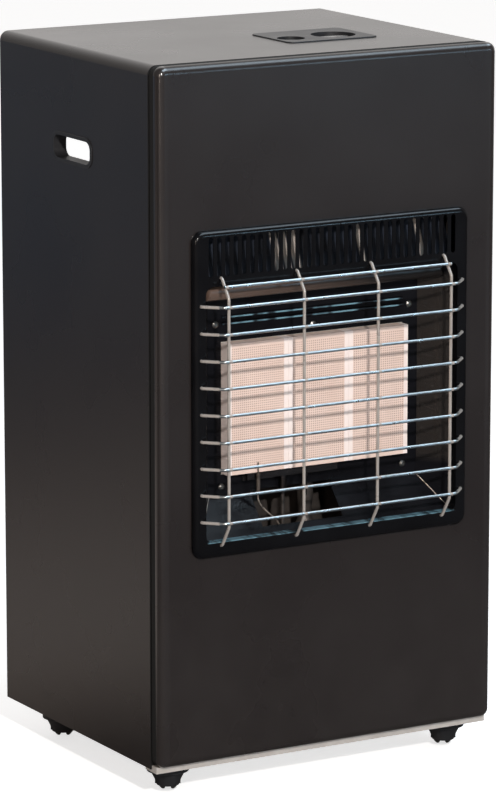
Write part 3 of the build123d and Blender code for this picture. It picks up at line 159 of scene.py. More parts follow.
def math_node(tree, operation, first, second=None):
    """Math node in a tree, fed by sockets or plain numbers."""
    node = tree.nodes.new("ShaderNodeMath")
    node.operation = operation
    for index, value in enumerate((first, second)):
        if value is None:
            continue
        if isinstance(value, (int, float)):
            node.inputs[index].default_value = value
        else:
            tree.links.new(value, node.inputs[index])
    return node.outputs[0]


def make_uneven_tone():
    """Slow change of colour and roughness over a surface, as paint, plating and use leave it."""
    group, source, result = new_group(
        "Uneven tone",
        [
            ("Vector", "NodeSocketVector", None),
            ("Color", "NodeSocketColor", (0.5, 0.5, 0.5, 1.0)),
            ("Second Color", "NodeSocketColor", (0.4, 0.4, 0.4, 1.0)),
            ("Scale", "NodeSocketFloat", 8.0),
            ("Roughness", "NodeSocketFloat", 0.4),
            ("Spread", "NodeSocketFloat", 0.05),
        ],
        [("Color", "NodeSocketColor"), ("Roughness", "NodeSocketFloat")],
    )
    noise = group.nodes.new("ShaderNodeTexNoise")
    noise.inputs["Detail"].default_value = 4.0
    noise.inputs["Roughness"].default_value = 0.55
    group.links.new(source.outputs["Vector"], noise.inputs["Vector"])
    group.links.new(source.outputs["Scale"], noise.inputs["Scale"])
    spread = group.nodes.new("ShaderNodeMapRange")
    spread.inputs["From Min"].default_value = 0.3
    spread.inputs["From Max"].default_value = 0.7
    group.links.new(noise.outputs["Fac"], spread.inputs["Value"])
    mix = group.nodes.new("ShaderNodeMix")
    mix.data_type = "RGBA"
    group.links.new(spread.outputs["Result"], mix.inputs["Factor"])
    group.links.new(source.outputs["Color"], mix.inputs["A"])
    group.links.new(source.outputs["Second Color"], mix.inputs["B"])
    group.links.new(mix.outputs["Result"], result.inputs["Color"])
    centred = math_node(group, "SUBTRACT", spread.outputs["Result"], 0.5)
    swing = math_node(group, "MULTIPLY", centred, source.outputs["Spread"])
    rough = math_node(group, "ADD", source.outputs["Roughness"], swing)
    group.links.new(rough, result.inputs["Roughness"])
    return group


def make_fine_grain():
    """Small relief of a coated or moulded surface: a soft orange peel with a finer grain on it."""
    group, source, result = new_group(
        "Fine grain",
        [
            ("Vector", "NodeSocketVector", None),
            ("Scale", "NodeSocketFloat", 400.0),
            ("Fine", "NodeSocketFloat", 0.4),
        ],
        [("Height", "NodeSocketFloat")],
    )
    peel = group.nodes.new("ShaderNodeTexNoise")
    peel.inputs["Detail"].default_value = 1.0
    group.links.new(source.outputs["Vector"], peel.inputs["Vector"])
    group.links.new(source.outputs["Scale"], peel.inputs["Scale"])
    grain = group.nodes.new("ShaderNodeTexNoise")
    grain.inputs["Detail"].default_value = 3.0
    group.links.new(source.outputs["Vector"], grain.inputs["Vector"])
    group.links.new(math_node(group, "MULTIPLY", source.outputs["Scale"], 4.0), grain.inputs["Scale"])
    fine = math_node(group, "MULTIPLY", grain.outputs["Fac"], source.outputs["Fine"])
    group.links.new(math_node(group, "ADD", peel.outputs["Fac"], fine), result.inputs["Height"])
    return group


def make_settled_dust():
    """Mask of the dust and scuffs that gather low on the cabinet and thin out upwards."""
    group, source, result = new_group(
        "Settled dust",
        [
            ("Vector", "NodeSocketVector", None),
            ("Top", "NodeSocketFloat", 0.3),
            ("Amount", "NodeSocketFloat", 0.1),
        ],
        [("Mask", "NodeSocketFloat")],
    )
    split = group.nodes.new("ShaderNodeSeparateXYZ")
    group.links.new(source.outputs["Vector"], split.inputs[0])
    fade = group.nodes.new("ShaderNodeMapRange")
    fade.inputs["To Min"].default_value = 1.0
    fade.inputs["To Max"].default_value = 0.0
    group.links.new(split.outputs["Z"], fade.inputs["Value"])
    group.links.new(source.outputs["Top"], fade.inputs["From Max"])
    patches = group.nodes.new("ShaderNodeTexNoise")
    patches.inputs["Scale"].default_value = 35.0
    patches.inputs["Detail"].default_value = 6.0
    group.links.new(source.outputs["Vector"], patches.inputs["Vector"])
    speckled = math_node(group, "MULTIPLY", fade.outputs["Result"], patches.outputs["Fac"])
    group.links.new(math_node(group, "MULTIPLY", speckled, source.outputs["Amount"]), result.inputs["Mask"])
    return group


def make_burner_holes():
    """Masks of a square grid of round holes across X and Z, and of the plain margins between blocks."""
    group, source, result = new_group(
        "Burner holes",
        [
            ("Vector", "NodeSocketVector", None),
            ("Pitch", "NodeSocketFloat", 0.0024),
            ("Radius", "NodeSocketFloat", 0.26),
            ("Block Pitch", "NodeSocketFloat", 0.0738),
            ("Field", "NodeSocketFloat", 0.0316),
            ("Base", "NodeSocketFloat", 0.3),
            ("Top", "NodeSocketFloat", 0.5),
        ],
        [("Mask", "NodeSocketFloat"), ("Margin", "NodeSocketFloat")],
    )
    split = group.nodes.new("ShaderNodeSeparateXYZ")
    group.links.new(source.outputs["Vector"], split.inputs[0])
    squares = []
    for axis in ("X", "Z"):
        cell = math_node(group, "DIVIDE", split.outputs[axis], source.outputs["Pitch"])
        from_centre = math_node(group, "SUBTRACT", math_node(group, "FRACT", cell), 0.5)
        squares.append(math_node(group, "MULTIPLY", from_centre, from_centre))
    reach = math_node(group, "SQRT", math_node(group, "ADD", squares[0], squares[1]))
    inside = math_node(group, "LESS_THAN", reach, source.outputs["Radius"])
    blocks = math_node(group, "DIVIDE", split.outputs["X"], source.outputs["Block Pitch"])
    blocks = math_node(group, "FRACT", math_node(group, "ADD", blocks, 0.5))
    off_middle = math_node(group, "ABSOLUTE", math_node(group, "SUBTRACT", blocks, 0.5))
    across = math_node(group, "MULTIPLY", off_middle, source.outputs["Block Pitch"])
    field = math_node(group, "LESS_THAN", across, source.outputs["Field"])
    above = math_node(group, "GREATER_THAN", split.outputs["Z"], source.outputs["Base"])
    below = math_node(group, "LESS_THAN", split.outputs["Z"], source.outputs["Top"])
    field = math_node(group, "MULTIPLY", field, math_node(group, "MULTIPLY", above, below))
    group.links.new(math_node(group, "MULTIPLY", inside, field), result.inputs["Mask"])
    # mask of the plain strips at the upright joints
    joint = math_node(group, "GREATER_THAN", across, source.outputs["Field"])
    group.links.new(joint, result.inputs["Margin"])
    return group


def make_band_mask():
    """Mask that is 1 within half of a centre and falls to 0 over a soft width."""
    group, source, result = new_group(
        "Band mask",
        [
            ("Value", "NodeSocketFloat", 0.0),
            ("Centre", "NodeSocketFloat", 0.0),
            ("Half", "NodeSocketFloat", 0.01),
            ("Soft", "NodeSocketFloat", 0.001),
        ],
        [("Mask", "NodeSocketFloat")],
    )
    away = math_node(group, "SUBTRACT", source.outputs["Value"], source.outputs["Centre"])
    fall = group.nodes.new("ShaderNodeMapRange")
    fall.inputs["To Min"].default_value = 1.0
    fall.inputs["To Max"].default_value = 0.0
    group.links.new(math_node(group, "ABSOLUTE", away), fall.inputs["Value"])
    group.links.new(source.outputs["Half"], fall.inputs["From Min"])
    end = math_node(group, "ADD", source.outputs["Half"], source.outputs["Soft"])
    group.links.new(end, fall.inputs["From Max"])
    group.links.new(fall.outputs["Result"], result.inputs["Mask"])
    return group


def make_broken_streaks():
    """Mask of long patches that break a streak up along X."""
    group, source, result = new_group(
        "Broken streaks",
        [
            ("Vector", "NodeSocketVector", None),
            ("Scale", "NodeSocketFloat", 80.0),
            ("Low", "NodeSocketFloat", 0.4),
            ("High", "NodeSocketFloat", 0.6),
        ],
        [("Mask", "NodeSocketFloat")],
    )
    shape = group.nodes.new("ShaderNodeMapping")
    shape.inputs["Scale"].default_value = (1.0, 0.2, 0.2)
    group.links.new(source.outputs["Vector"], shape.inputs["Vector"])
    noise = group.nodes.new("ShaderNodeTexNoise")
    noise.inputs["Detail"].default_value = 1.0
    group.links.new(source.outputs["Scale"], noise.inputs["Scale"])
    group.links.new(shape.outputs["Vector"], noise.inputs["Vector"])
    cut = group.nodes.new("ShaderNodeMapRange")
    group.links.new(source.outputs["Low"], cut.inputs["From Min"])
    group.links.new(source.outputs["High"], cut.inputs["From Max"])
    group.links.new(noise.outputs["Fac"], cut.inputs["Value"])
    group.links.new(cut.outputs["Result"], result.inputs["Mask"])
    return group


uneven_tone = make_uneven_tone()
fine_grain = make_fine_grain()
settled_dust = make_settled_dust()
burner_holes = make_burner_holes()
band_mask = make_band_mask()
broken_streaks = make_broken_streaks()


def use_group(tree, group, source, **values):
    """Place a group in a material, its first input fed by a source, with its own values."""
    node = tree.nodes.new("ShaderNodeGroup")
    node.node_tree = group
    tree.links.new(source, node.inputs[0])
    for label, value in values.items():
        socket = node.inputs[label.replace("_", " ").title()]
        socket.default_value = (*value, 1.0) if isinstance(value, tuple) else value
    return node


# ---------------------------------------------------------------- finishes


def base_finish(
    name, colour, second_colour, roughness, spread=0.06, tone_scale=9.0, metallic=0.0,
    grain_scale=600.0, grain_fine=0.4, relief=0.00004, stretch=(1.0, 1.0, 1.0), specular=0.5,
):
    """Material with uneven tone and a fine relief. Gives it, its shader, its colour socket and its vector."""
    material = bpy.data.materials.new(name)
    material.use_nodes = True
    tree = material.node_tree
    shader = tree.nodes["Principled BSDF"]
    place = tree.nodes.new("ShaderNodeTexCoord")
    shape = tree.nodes.new("ShaderNodeMapping")
    shape.inputs["Scale"].default_value = stretch
    tree.links.new(place.outputs["Object"], shape.inputs["Vector"])
    vector = shape.outputs["Vector"]
    tone = use_group(
        tree, uneven_tone, vector, color=colour, second_color=second_colour,
        scale=tone_scale, roughness=roughness, spread=spread,
    )
    grain = use_group(tree, fine_grain, vector, scale=grain_scale, fine=grain_fine)
    bump = tree.nodes.new("ShaderNodeBump")
    bump.inputs["Strength"].default_value = 1.0
    bump.inputs["Distance"].default_value = relief
    tree.links.new(grain.outputs["Height"], bump.inputs["Height"])
    tree.links.new(tone.outputs["Color"], shader.inputs["Base Color"])
    tree.links.new(tone.outputs["Roughness"], shader.inputs["Roughness"])
    tree.links.new(bump.outputs["Normal"], shader.inputs["Normal"])
    shader.inputs["Metallic"].default_value = metallic
    shader.inputs["Specular IOR Level"].default_value = specular
    return material, shader, tone.outputs["Color"], place.outputs["Object"]


def overlay(material, shader, below, mask, colour, share=1.0):
    """Lay a second colour over a material's base colour where a mask is up."""
    tree = material.node_tree
    mix = tree.nodes.new("ShaderNodeMix")
    mix.data_type = "RGBA"
    mix.inputs["B"].default_value = (*colour, 1.0)
    tree.links.new(math_node(tree, "MULTIPLY", mask, share), mix.inputs["Factor"])
    tree.links.new(below, mix.inputs["A"])
    tree.links.new(mix.outputs["Result"], shader.inputs["Base Color"])
    return mix.outputs["Result"]


def blend_socket(material, shader, socket, mask, outside, inside):
    """Run a shader socket from what feeds it, or else a value, to another value by a mask."""
    tree = material.node_tree
    mix = tree.nodes.new("ShaderNodeMix")
    mix.data_type = "FLOAT"
    mix.inputs["A"].default_value = outside
    mix.inputs["B"].default_value = inside
    for link in shader.inputs[socket].links:
        tree.links.new(link.from_socket, mix.inputs["A"])
    tree.links.new(mask, mix.inputs["Factor"])
    tree.links.new(mix.outputs["Result"], shader.inputs[socket])


def position(material, vector, axis):
    """One coordinate of the surface point, in metres."""
    split = material.node_tree.nodes.new("ShaderNodeSeparateXYZ")
    material.node_tree.links.new(vector, split.inputs[0])
    return split.outputs[axis]


def band(material, value, centre, half, soft):
    """Mask of a band of values."""
    node = use_group(material.node_tree, band_mask, value, centre=centre, half=half, soft=soft)
    return node.outputs["Mask"]


def streaks(material, vector, scale, low, high):
    """Mask of broken streaks along X."""
    node = use_group(material.node_tree, broken_streaks, vector, scale=scale, low=low, high=high)
    return node.outputs["Mask"]


def both(material, *masks):
    """Product of some masks."""
    total = masks[0]
    for mask in masks[1:]:
        total = math_node(material.node_tree, "MULTIPLY", total, mask)
    return total


def highest(material, masks):
    """The highest of some masks."""
    total = masks[0]
    for mask in masks[1:]:
        total = math_node(material.node_tree, "MAXIMUM", total, mask)
    return total


def cabinet_paint():
    """Powder coat with dust low down, matt turned edges darkened with painted shade in the gap behind the
    front panel, and glossier upright edges in front.
    """
    material, shader, colour, vector = base_finish(
        "Black powder coat", (0.0132, 0.0100, 0.0096), (0.0180, 0.0142, 0.0134), 0.28,
        spread=0.05, tone_scale=5.0, grain_scale=700.0, grain_fine=0.5, relief=0.00003,
    )
    dust = use_group(material.node_tree, settled_dust, vector, top=0.30, amount=0.04)
    dusty = overlay(material, shader, colour, dust.outputs["Mask"], (0.30, 0.27, 0.24))
    depth = position(material, vector, "Y")
    # painted shade: the turned edges in the gap behind the front panel are laid near black and matt
    painted_gap_shade = band(material, depth, *shadow_gap, 0.0006)
    overlay(material, shader, dusty, painted_gap_shade, (0.002, 0.002, 0.002), 0.95)
    blend_socket(material, shader, "Roughness", painted_gap_shade, 0.28, 0.90)
    across = math_node(material.node_tree, "ABSOLUTE", position(material, vector, "X"))
    in_front = math_node(material.node_tree, "LESS_THAN", depth, shadow_gap[0] - shadow_gap[1])
    edges = both(material, band(material, across, *glossy_edge, 0.002), in_front)
    blend_socket(material, shader, "Coat Weight", edges, 0.0, 1.0)
    shader.inputs["Coat Roughness"].default_value = 0.12
    return material


def fascia_enamel():
    """Black enamel with a painted blue highlight along the lower fold and a painted reflection, a pale strip,
    beside the end plaque.
    """
    material, shader, colour, vector = base_finish(
        "Black enamel", (0.0020, 0.0020, 0.0026), (0.0040, 0.0040, 0.0048), 0.17,
        spread=0.10, tone_scale=14.0, grain_scale=500.0, grain_fine=0.3, relief=0.00005, specular=0.26,
    )
    across = position(material, vector, "X")
    height = position(material, vector, "Z")
    # painted highlight: a broken blue streak along the fold at the foot of the opening
    streak = both(
        material, band(material, height, fascia_fold, 0.0006, 0.0005),
        band(material, across, 0.0, fold_half, 0.004), streaks(material, vector, 90.0, 0.36, 0.60),
    )
    with_fold_highlight = overlay(material, shader, colour, streak, (0.13, 0.24, 0.29), 0.9)
    # painted reflection: a pale strip on the turned edge beside the end plaque
    strip = both(
        material, band(material, across, *reflection_strip_across, 0.0006),
        band(material, height, *reflection_strip_height, 0.003),
        band(material, position(material, vector, "Y"), *reflection_strip_depth, 0.001),
    )
    overlay(material, shader, with_fold_highlight, strip, (0.42, 0.31, 0.26), 0.8)
    return material


def pan_enamel():
    """Matt enamel, glossier on the cheeks beside the plaques, with a painted brown reflection of the plaques
    on the cheeks and painted blue highlights on the beads.
    """
    material, shader, colour, vector = base_finish(
        "Reflector pan enamel", (0.0035, 0.0035, 0.0045), (0.0070, 0.0070, 0.0088), 0.16,
        spread=0.14, tone_scale=16.0, grain_scale=300.0, grain_fine=0.2, relief=0.00004, specular=0.13,
    )
    across = math_node(material.node_tree, "ABSOLUTE", position(material, vector, "X"))
    height = position(material, vector, "Z")
    past_plate = math_node(material.node_tree, "GREATER_THAN", across, back_plate_half + cheek_start)
    cheeks = both(material, past_plate, band(material, height, cheek_middle, cheek_half, 0.01))
    blend_socket(material, shader, "Coat Weight", cheeks, 0.0, 1.0)
    shader.inputs["Coat Roughness"].default_value = 0.10
    # painted reflection: the plaques' light laid on the cheeks as a browner colour
    with_cheek_reflection = overlay(material, shader, colour, cheeks, (0.020, 0.0165, 0.0145), 0.9)
    # painted highlight: broken blue streaks along the bead crests
    crests = highest(material, [band(material, height, crest, 0.0004, 0.0007) for crest in bead_crests])
    streak = both(
        material, crests, band(material, across, 0.0, bead_half, 0.003),
        streaks(material, vector, 70.0, 0.38, 0.58),
    )
    overlay(material, shader, with_cheek_reflection, streak, (0.17, 0.31, 0.38), 0.9)
    return material


def deflector_enamel():
    """Dark blue-grey enamel with painted reflections, as pale patches, behind some of the louvres."""
    material, shader, colour, vector = base_finish(
        "Louvre deflector enamel", (0.030, 0.036, 0.050), (0.008, 0.008, 0.009), 0.24,
        spread=0.20, tone_scale=70.0, grain_scale=300.0, grain_fine=0.3, relief=0.00005,
        stretch=(1.0, 1.0, 0.15), specular=0.2,
    )
    across = position(material, vector, "X")
    # painted reflection: pale patches seen through some of the louvres
    pale = highest(material, [band(material, across, centre, half, 0.002) for centre, half in reflection_patches])
    overlay(material, shader, colour, pale, (0.42, 0.37, 0.33), 0.95)
    return material


def hood_enamel():
    """Black enamel with a painted brown reflection that is strongest at the left end and fades out to the
    right.
    """
    material, shader, colour, vector = base_finish(
        "Black enamel with painted brown reflection", (0.012, 0.009, 0.008), (0.007, 0.006, 0.006), 0.34,
        spread=0.12, tone_scale=12.0, grain_scale=500.0, grain_fine=0.3, relief=0.00005,
    )
    low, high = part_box("burner_hood")
    # painted reflection: brown laid over the enamel, strongest at the left end
    fade = material.node_tree.nodes.new("ShaderNodeMapRange")
    fade.inputs["From Min"].default_value = low[0]
    fade.inputs["From Max"].default_value = high[0] * reflection_reach
    fade.inputs["To Min"].default_value = 1.0
    fade.inputs["To Max"].default_value = 0.0
    material.node_tree.links.new(position(material, vector, "X"), fade.inputs["Value"])
    overlay(material, shader, colour, fade.outputs["Result"], (0.125, 0.080, 0.060), 0.9)
    return material


def guard_wire():
    """Bright plated wire, less metallic on the uprights and the bent-back ends, with a painted warm
    reflection there as a paler tan colour.
    """
    material, shader, colour, vector = base_finish(
        "Bright plated wire", (0.62, 0.67, 0.69), (0.50, 0.54, 0.56), 0.30,
        spread=0.08, tone_scale=90.0, metallic=1.0, grain_scale=900.0, relief=0.00001,
    )
    across = position(material, vector, "X")
    # painted reflection: the uprights and bent-back ends get a paler tan colour and less metal
    painted_upright_reflection = [band(material, across, centre, upright_half, 0.0002) for centre in upright_places]
    off_centre = math_node(material.node_tree, "ABSOLUTE", across)
    painted_upright_reflection.append(math_node(material.node_tree, "GREATER_THAN", off_centre, guard_corner))
    painted_upright_reflection = highest(material, painted_upright_reflection)
    overlay(material, shader, colour, painted_upright_reflection, (0.40, 0.362, 0.33), 1.0)
    blend_socket(material, shader, "Metallic", painted_upright_reflection, 1.0, 0.30)
    return material


def burner_ceramic():
    """Pale porous ceramic, pierced by rows of burner holes, with paler plain strips at the joints."""
    material, shader, colour, vector = base_finish(
        "Porous burner ceramic", (0.72, 0.555, 0.48), (0.66, 0.495, 0.42), 0.85,
        spread=0.08, tone_scale=26.0, grain_scale=1200.0, grain_fine=0.8, relief=0.00008,
    )
    low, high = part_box("ceramic_plaque_2")
    width = high[0] - low[0]
    holes = use_group(
        material.node_tree, burner_holes, vector, pitch=burner_hole_pitch, radius=burner_hole_radius,
        block_pitch=width + plaque_joint, field=width / 2 - plaque_margin,
        base=low[2] + plaque_margin, top=high[2] - plaque_margin,
    )
    pale = overlay(material, shader, colour, holes.outputs["Margin"], (0.84, 0.74, 0.70), 0.75)
    overlay(material, shader, pale, holes.outputs["Mask"], (0.24, 0.13, 0.09), 0.62)
    return material


def wheel_black():
    """Castor plastic with dust near the floor."""
    material, shader, colour, vector = base_finish(
        "Castor wheel plastic", (0.012, 0.012, 0.012), (0.026, 0.025, 0.024), 0.48,
        spread=0.12, tone_scale=70.0, grain_scale=900.0, relief=0.00005,
    )
    dust = use_group(material.node_tree, settled_dust, vector, top=0.03, amount=0.35)
    overlay(material, shader, colour, dust.outputs["Mask"], (0.22, 0.20, 0.18))
    return material


# Finishes with nothing laid over them: name, two colours, roughness and what else differs
plain_finishes = {
    "zinc_steel": (
        "Zinc plated sheet", (0.55, 0.56, 0.57), (0.42, 0.43, 0.44), 0.38,
        dict(spread=0.18, tone_scale=60.0, metallic=1.0, grain_scale=300.0, relief=0.00003),
    ),
    # pilot parts in a dark, mottled steel
    "stainless": (
        "Dark mottled pilot steel", (0.13, 0.125, 0.13), (0.06, 0.05, 0.045), 0.26,
        dict(
            spread=0.12, tone_scale=70.0, metallic=1.0, grain_scale=300.0, relief=0.00003,
            stretch=(0.3, 1.0, 1.0),
        ),
    ),
    "zinc_screw": (
        "Zinc screws", (0.34, 0.33, 0.31), (0.22, 0.21, 0.19), 0.38,
        dict(spread=0.10, tone_scale=200.0, metallic=1.0, grain_scale=900.0, relief=0.00002),
    ),
    # porcelain laid dark brown
    "porcelain": (
        "Dark brown porcelain", (0.10, 0.08, 0.065), (0.05, 0.04, 0.035), 0.35,
        dict(spread=0.06, tone_scale=60.0, grain_scale=500.0, relief=0.00001),
    ),
    "fibre": (
        "Ceramic fibre felt", (0.80, 0.78, 0.72), (0.66, 0.64, 0.58), 0.95,
        dict(spread=0.04, tone_scale=80.0, grain_scale=1500.0, grain_fine=1.0, relief=0.0002),
    ),
    "brass": (
        "Machined brass", (0.62, 0.48, 0.24), (0.48, 0.36, 0.18), 0.28,
        dict(
            spread=0.12, tone_scale=90.0, metallic=1.0, grain_scale=600.0, relief=0.00002,
            stretch=(1.0, 1.0, 6.0),
        ),
    ),
    "alloy_pipe": (
        "Drawn aluminium tube", (0.62, 0.63, 0.64), (0.50, 0.50, 0.51), 0.32,
        dict(
            spread=0.10, tone_scale=60.0, metallic=1.0, grain_scale=500.0, relief=0.00002,
            stretch=(1.0, 1.0, 0.1),
        ),
    ),
    "black_plastic": (
        "Moulded black plastic", (0.016, 0.016, 0.018), (0.024, 0.024, 0.026), 0.42,
        dict(
            spread=0.08, tone_scale=30.0, grain_scale=1600.0, grain_fine=0.6, relief=0.00004,
            specular=0.35,
        ),
    ),
    "knob_plastic": (
        "Polished black plastic", (0.012, 0.012, 0.014), (0.018, 0.018, 0.020), 0.20,
        dict(spread=0.06, tone_scale=40.0, grain_scale=900.0, relief=0.00001),
    ),
    # shield, tubes and pipes in a dark brown sheet
    "darkened_sheet": (
        "Dark brown sheet", (0.110, 0.095, 0.085), (0.050, 0.042, 0.038), 0.50,
        dict(spread=0.15, tone_scale=60.0, metallic=0.6, grain_scale=300.0, relief=0.00003),
    ),
    "base_sheet": (
        "Passivated base sheet", (0.70, 0.65, 0.60), (0.55, 0.50, 0.46), 0.50,
        dict(spread=0.12, tone_scale=40.0, metallic=0.35, grain_scale=300.0, relief=0.00003),
    ),
    "bare_steel": (
        "Bare steel edges", (0.42, 0.36, 0.31), (0.13, 0.11, 0.10), 0.34,
        dict(spread=0.14, tone_scale=260.0, metallic=1.0, grain_scale=900.0, relief=0.00003),
    ),
    "electrode_steel": (
        "Scaled electrode steel", (0.30, 0.25, 0.21), (0.012, 0.011, 0.010), 0.42,
        dict(spread=0.12, tone_scale=160.0, grain_scale=2400.0, grain_fine=1.0, relief=0.00010),
    ),
}
finishes = {
    key: base_finish(name, colour, second, roughness, **rest)[0]
    for key, (name, colour, second, roughness, rest) in plain_finishes.items()
}
finishes.update(
    cabinet_paint=cabinet_paint(), enamel=fascia_enamel(), pan_enamel=pan_enamel(),
    deflector_enamel=deflector_enamel(), hood_enamel=hood_enamel(), guard_plating=guard_wire(),
    ceramic=burner_ceramic(), wheel_plastic=wheel_black(),
)

# Nodes whose finish isn't the one of their material slot
node_finishes = {
    "burner_hood": "hood_enamel",
    "reflector_pan": "pan_enamel",
    "louvre_deflector": "deflector_enamel",
    "base_tray": "base_sheet",
    "heat_shield": "darkened_sheet",
    "mixing_tubes": "darkened_sheet",
    "gas_pipes": "darkened_sheet",
    "pilot_pipe": "darkened_sheet",
    "injector_rail": "darkened_sheet",
}


def dress_nodes():
    """Give each CAD node its finish."""
    for subpart in frame["record"]["subparts"]:
        name = subpart["node"]
        material = finishes[node_finishes.get(name, subpart["material_slot"])]
        piece = frame["nodes"][name]
        if not piece.material_slots:
            piece.data.materials.append(material)
        for slot in piece.material_slots:
            slot.material = material


dress_nodes()

# ---------------------------------------------------------------- small pieces on the burner


def lay_wire(name, points, radius, material):
    """Round wire, smooth through some points, on the cabinet."""
    line = bpy.data.curves.new(name, "CURVE")
    line.dimensions = "3D"
    line.bevel_depth = radius
    line.bevel_resolution = 3
    line.resolution_u = 10
    line.use_fill_caps = True
    spline = line.splines.new("NURBS")
    spline.points.add(len(points) - 1)
    for knot, place in zip(spline.points, points):
        knot.co = (*place, 1.0)
    spline.order_u = 3
    spline.use_endpoint_u = True
    line.materials.append(material)
    piece = bpy.data.objects.new(name, line)
    bpy.context.collection.objects.link(piece)
    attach(piece, "cabinet")


def weld_pan_seams():
    """Seams between the sloping lower plate of the pan and its two cheeks."""
    low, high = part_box("reflector_pan")
    for side, name in ((1, "pan_seam_right"), (-1, "pan_seam_left")):
        front_x = side * (high.x - pan_sheet - seam_radius)
        back_x = side * (back_plate_half - seam_radius)
        start = Vector((front_x, low.y + pan_sheet, low.z + pan_sheet + seam_radius))
        end = Vector((back_x, low.y + pan_depth - seam_radius, back_plate_foot + seam_radius))
        lay_wire(name, [start, (start + end) / 2, end], seam_radius, finishes["bare_steel"])


def fill_plaque_joints():
    """Paste that closes the joints between the plaques."""
    low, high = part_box("ceramic_plaque_2")
    heights = (low.z + paste_inset, (low.z + high.z) / 2, high.z - paste_inset)
    for side, name in ((1, "joint_paste_right"), (-1, "joint_paste_left")):
        x = side * (high.x + plaque_joint / 2)
        points = [Vector((x, low.y + paste_depth, z)) for z in heights]
        lay_wire(name, points, plaque_joint / 2, finishes["ceramic"])


def bend_electrode_rod():
    """Stiff rod that feeds the igniter electrode, bent down through the notch."""
    low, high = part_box("igniter_electrode")
    foot = Vector(((low.x + high.x) / 2, (low.y + high.y) / 2, low.z))
    lay_wire(
        "electrode_rod", [foot + Vector(step) for step in rod_steps], rod_radius, finishes["electrode_steel"],
    )


weld_pan_seams()
fill_plaque_joints()
bend_electrode_rod()

# ---------------------------------------------------------------- studio


def studio_floor():
    """Pale floor. The camera alone sees it lifted to white, and shadows stay on it."""
    mesh = bpy.data.meshes.new("studio_floor")
    shape = bmesh.new()
    half = floor_size / 2
    corners = ((-half, -half), (half, -half), (half, half), (-half, half))
    shape.faces.new([shape.verts.new((x, y, 0.0)) for x, y in corners])
    shape.to_mesh(mesh)
    shape.free()
    floor = bpy.data.objects.new("studio_floor", mesh)
    bpy.context.collection.objects.link(floor)
    material = bpy.data.materials.new("Pale studio floor")
    material.use_nodes = True
    tree = material.node_tree
    shader = tree.nodes["Principled BSDF"]
    shader.inputs["Roughness"].default_value = floor_roughness
    shader.inputs["Specular IOR Level"].default_value = 0.0
    shader.inputs["Emission Color"].default_value = (1.0, 1.0, 1.0, 1.0)
    path = tree.nodes.new("ShaderNodeLightPath")
    lift = math_node(tree, "MULTIPLY", path.outputs["Is Camera Ray"], floor_lift)
    tree.links.new(lift, shader.inputs["Emission Strength"])
    # glossy surfaces see a floor dark in front of the heater, warm close behind it, cool far off
    place = tree.nodes.new("ShaderNodeTexCoord")
    split = tree.nodes.new("ShaderNodeSeparateXYZ")
    tree.links.new(place.outputs["Object"], split.inputs[0])
    first, last = floor_mirror[0][0], floor_mirror[-1][0]
    reach = tree.nodes.new("ShaderNodeMapRange")
    reach.inputs["From Min"].default_value = first
    reach.inputs["From Max"].default_value = last
    tree.links.new(split.outputs["Y"], reach.inputs["Value"])
    ramp = tree.nodes.new("ShaderNodeValToRGB")
    ramp.color_ramp.elements.remove(ramp.color_ramp.elements[1])
    for index, (distance, tone) in enumerate(floor_mirror):
        share = (distance - first) / (last - first)
        stop = ramp.color_ramp.elements[0] if index == 0 else ramp.color_ramp.elements.new(share)
        stop.position = share
        stop.color = (*tone, 1.0)
    tree.links.new(reach.outputs["Result"], ramp.inputs["Fac"])
    choice = tree.nodes.new("ShaderNodeMix")
    choice.data_type = "RGBA"
    choice.inputs["A"].default_value = (*floor_colour, 1.0)
    tree.links.new(path.outputs["Is Glossy Ray"], choice.inputs["Factor"])
    tree.links.new(ramp.outputs["Color"], choice.inputs["B"])
    tree.links.new(choice.outputs["Result"], shader.inputs["Base Color"])
    mesh.materials.append(material)


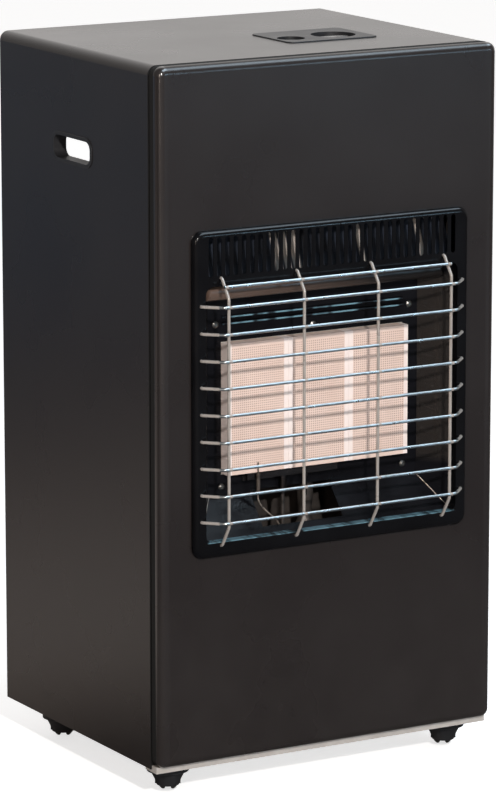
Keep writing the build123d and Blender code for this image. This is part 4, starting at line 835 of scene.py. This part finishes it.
def studio_surround():
    """World: white to the camera, and a soft surround, brighter towards the backdrop, to all else."""
    world = bpy.data.worlds.new("Studio surround")
    bpy.context.scene.world = world
    world.use_nodes = True
    tree = world.node_tree
    background = tree.nodes["Background"]
    place = tree.nodes.new("ShaderNodeTexCoord")
    towards = tree.nodes.new("ShaderNodeVectorMath")
    towards.operation = "DOT_PRODUCT"
    towards.inputs[1].default_value = Vector(backdrop_direction).normalized()
    tree.links.new(place.outputs["Generated"], towards.inputs[0])
    level = tree.nodes.new("ShaderNodeMapRange")
    level.inputs["From Min"].default_value = surround_fade[0]
    level.inputs["From Max"].default_value = surround_fade[1]
    level.inputs["To Min"].default_value = surround_level * surround_dark
    level.inputs["To Max"].default_value = surround_level
    tree.links.new(towards.outputs["Value"], level.inputs["Value"])
    path = tree.nodes.new("ShaderNodeLightPath")
    tint = tree.nodes.new("ShaderNodeMix")
    tint.data_type = "RGBA"
    tint.inputs["A"].default_value = (*surround_colour, 1.0)
    tint.inputs["B"].default_value = (1.0, 1.0, 1.0, 1.0)
    tree.links.new(path.outputs["Is Camera Ray"], tint.inputs["Factor"])
    tree.links.new(tint.outputs["Result"], background.inputs["Color"])
    strength = tree.nodes.new("ShaderNodeMix")
    strength.data_type = "FLOAT"
    strength.inputs["B"].default_value = 1.0
    tree.links.new(path.outputs["Is Camera Ray"], strength.inputs["Factor"])
    tree.links.new(level.outputs["Result"], strength.inputs["A"])
    tree.links.new(strength.outputs["Result"], background.inputs["Strength"])


def soft_box(name, place, target, width, height, power, colour):
    """Rectangular studio light aimed at a point."""
    light = bpy.data.lights.new(name, "AREA")
    light.shape = "RECTANGLE"
    light.size = width
    light.size_y = height
    light.energy = power
    light.color = colour
    lamp = bpy.data.objects.new(name, light)
    lamp.location = place
    lamp.rotation_euler = (Vector(target) - Vector(place)).to_track_quat("-Z", "Y").to_euler()
    bpy.context.collection.objects.link(lamp)


def studio_camera():
    """Long lens, a little above the heater, from its front left."""
    lens = bpy.data.cameras.new("studio_camera")
    lens.sensor_width = sensor_size
    lens.lens = focal_pixels * sensor_size / frame_height_pixels
    lens.clip_end = camera_reach
    camera = bpy.data.objects.new("studio_camera", lens)
    camera.location = camera_place
    forward = Vector((
        math.sin(camera_yaw) * math.cos(camera_pitch),
        math.cos(camera_yaw) * math.cos(camera_pitch),
        -math.sin(camera_pitch),
    ))
    camera.rotation_euler = forward.to_track_quat("-Z", "Y").to_euler()
    bpy.context.collection.objects.link(camera)
    bpy.context.scene.camera = camera


studio_floor()
studio_surround()
for lamp_values in lamps:
    soft_box(*lamp_values)
studio_camera()
bpy.context.scene.view_settings.view_transform = "Standard"
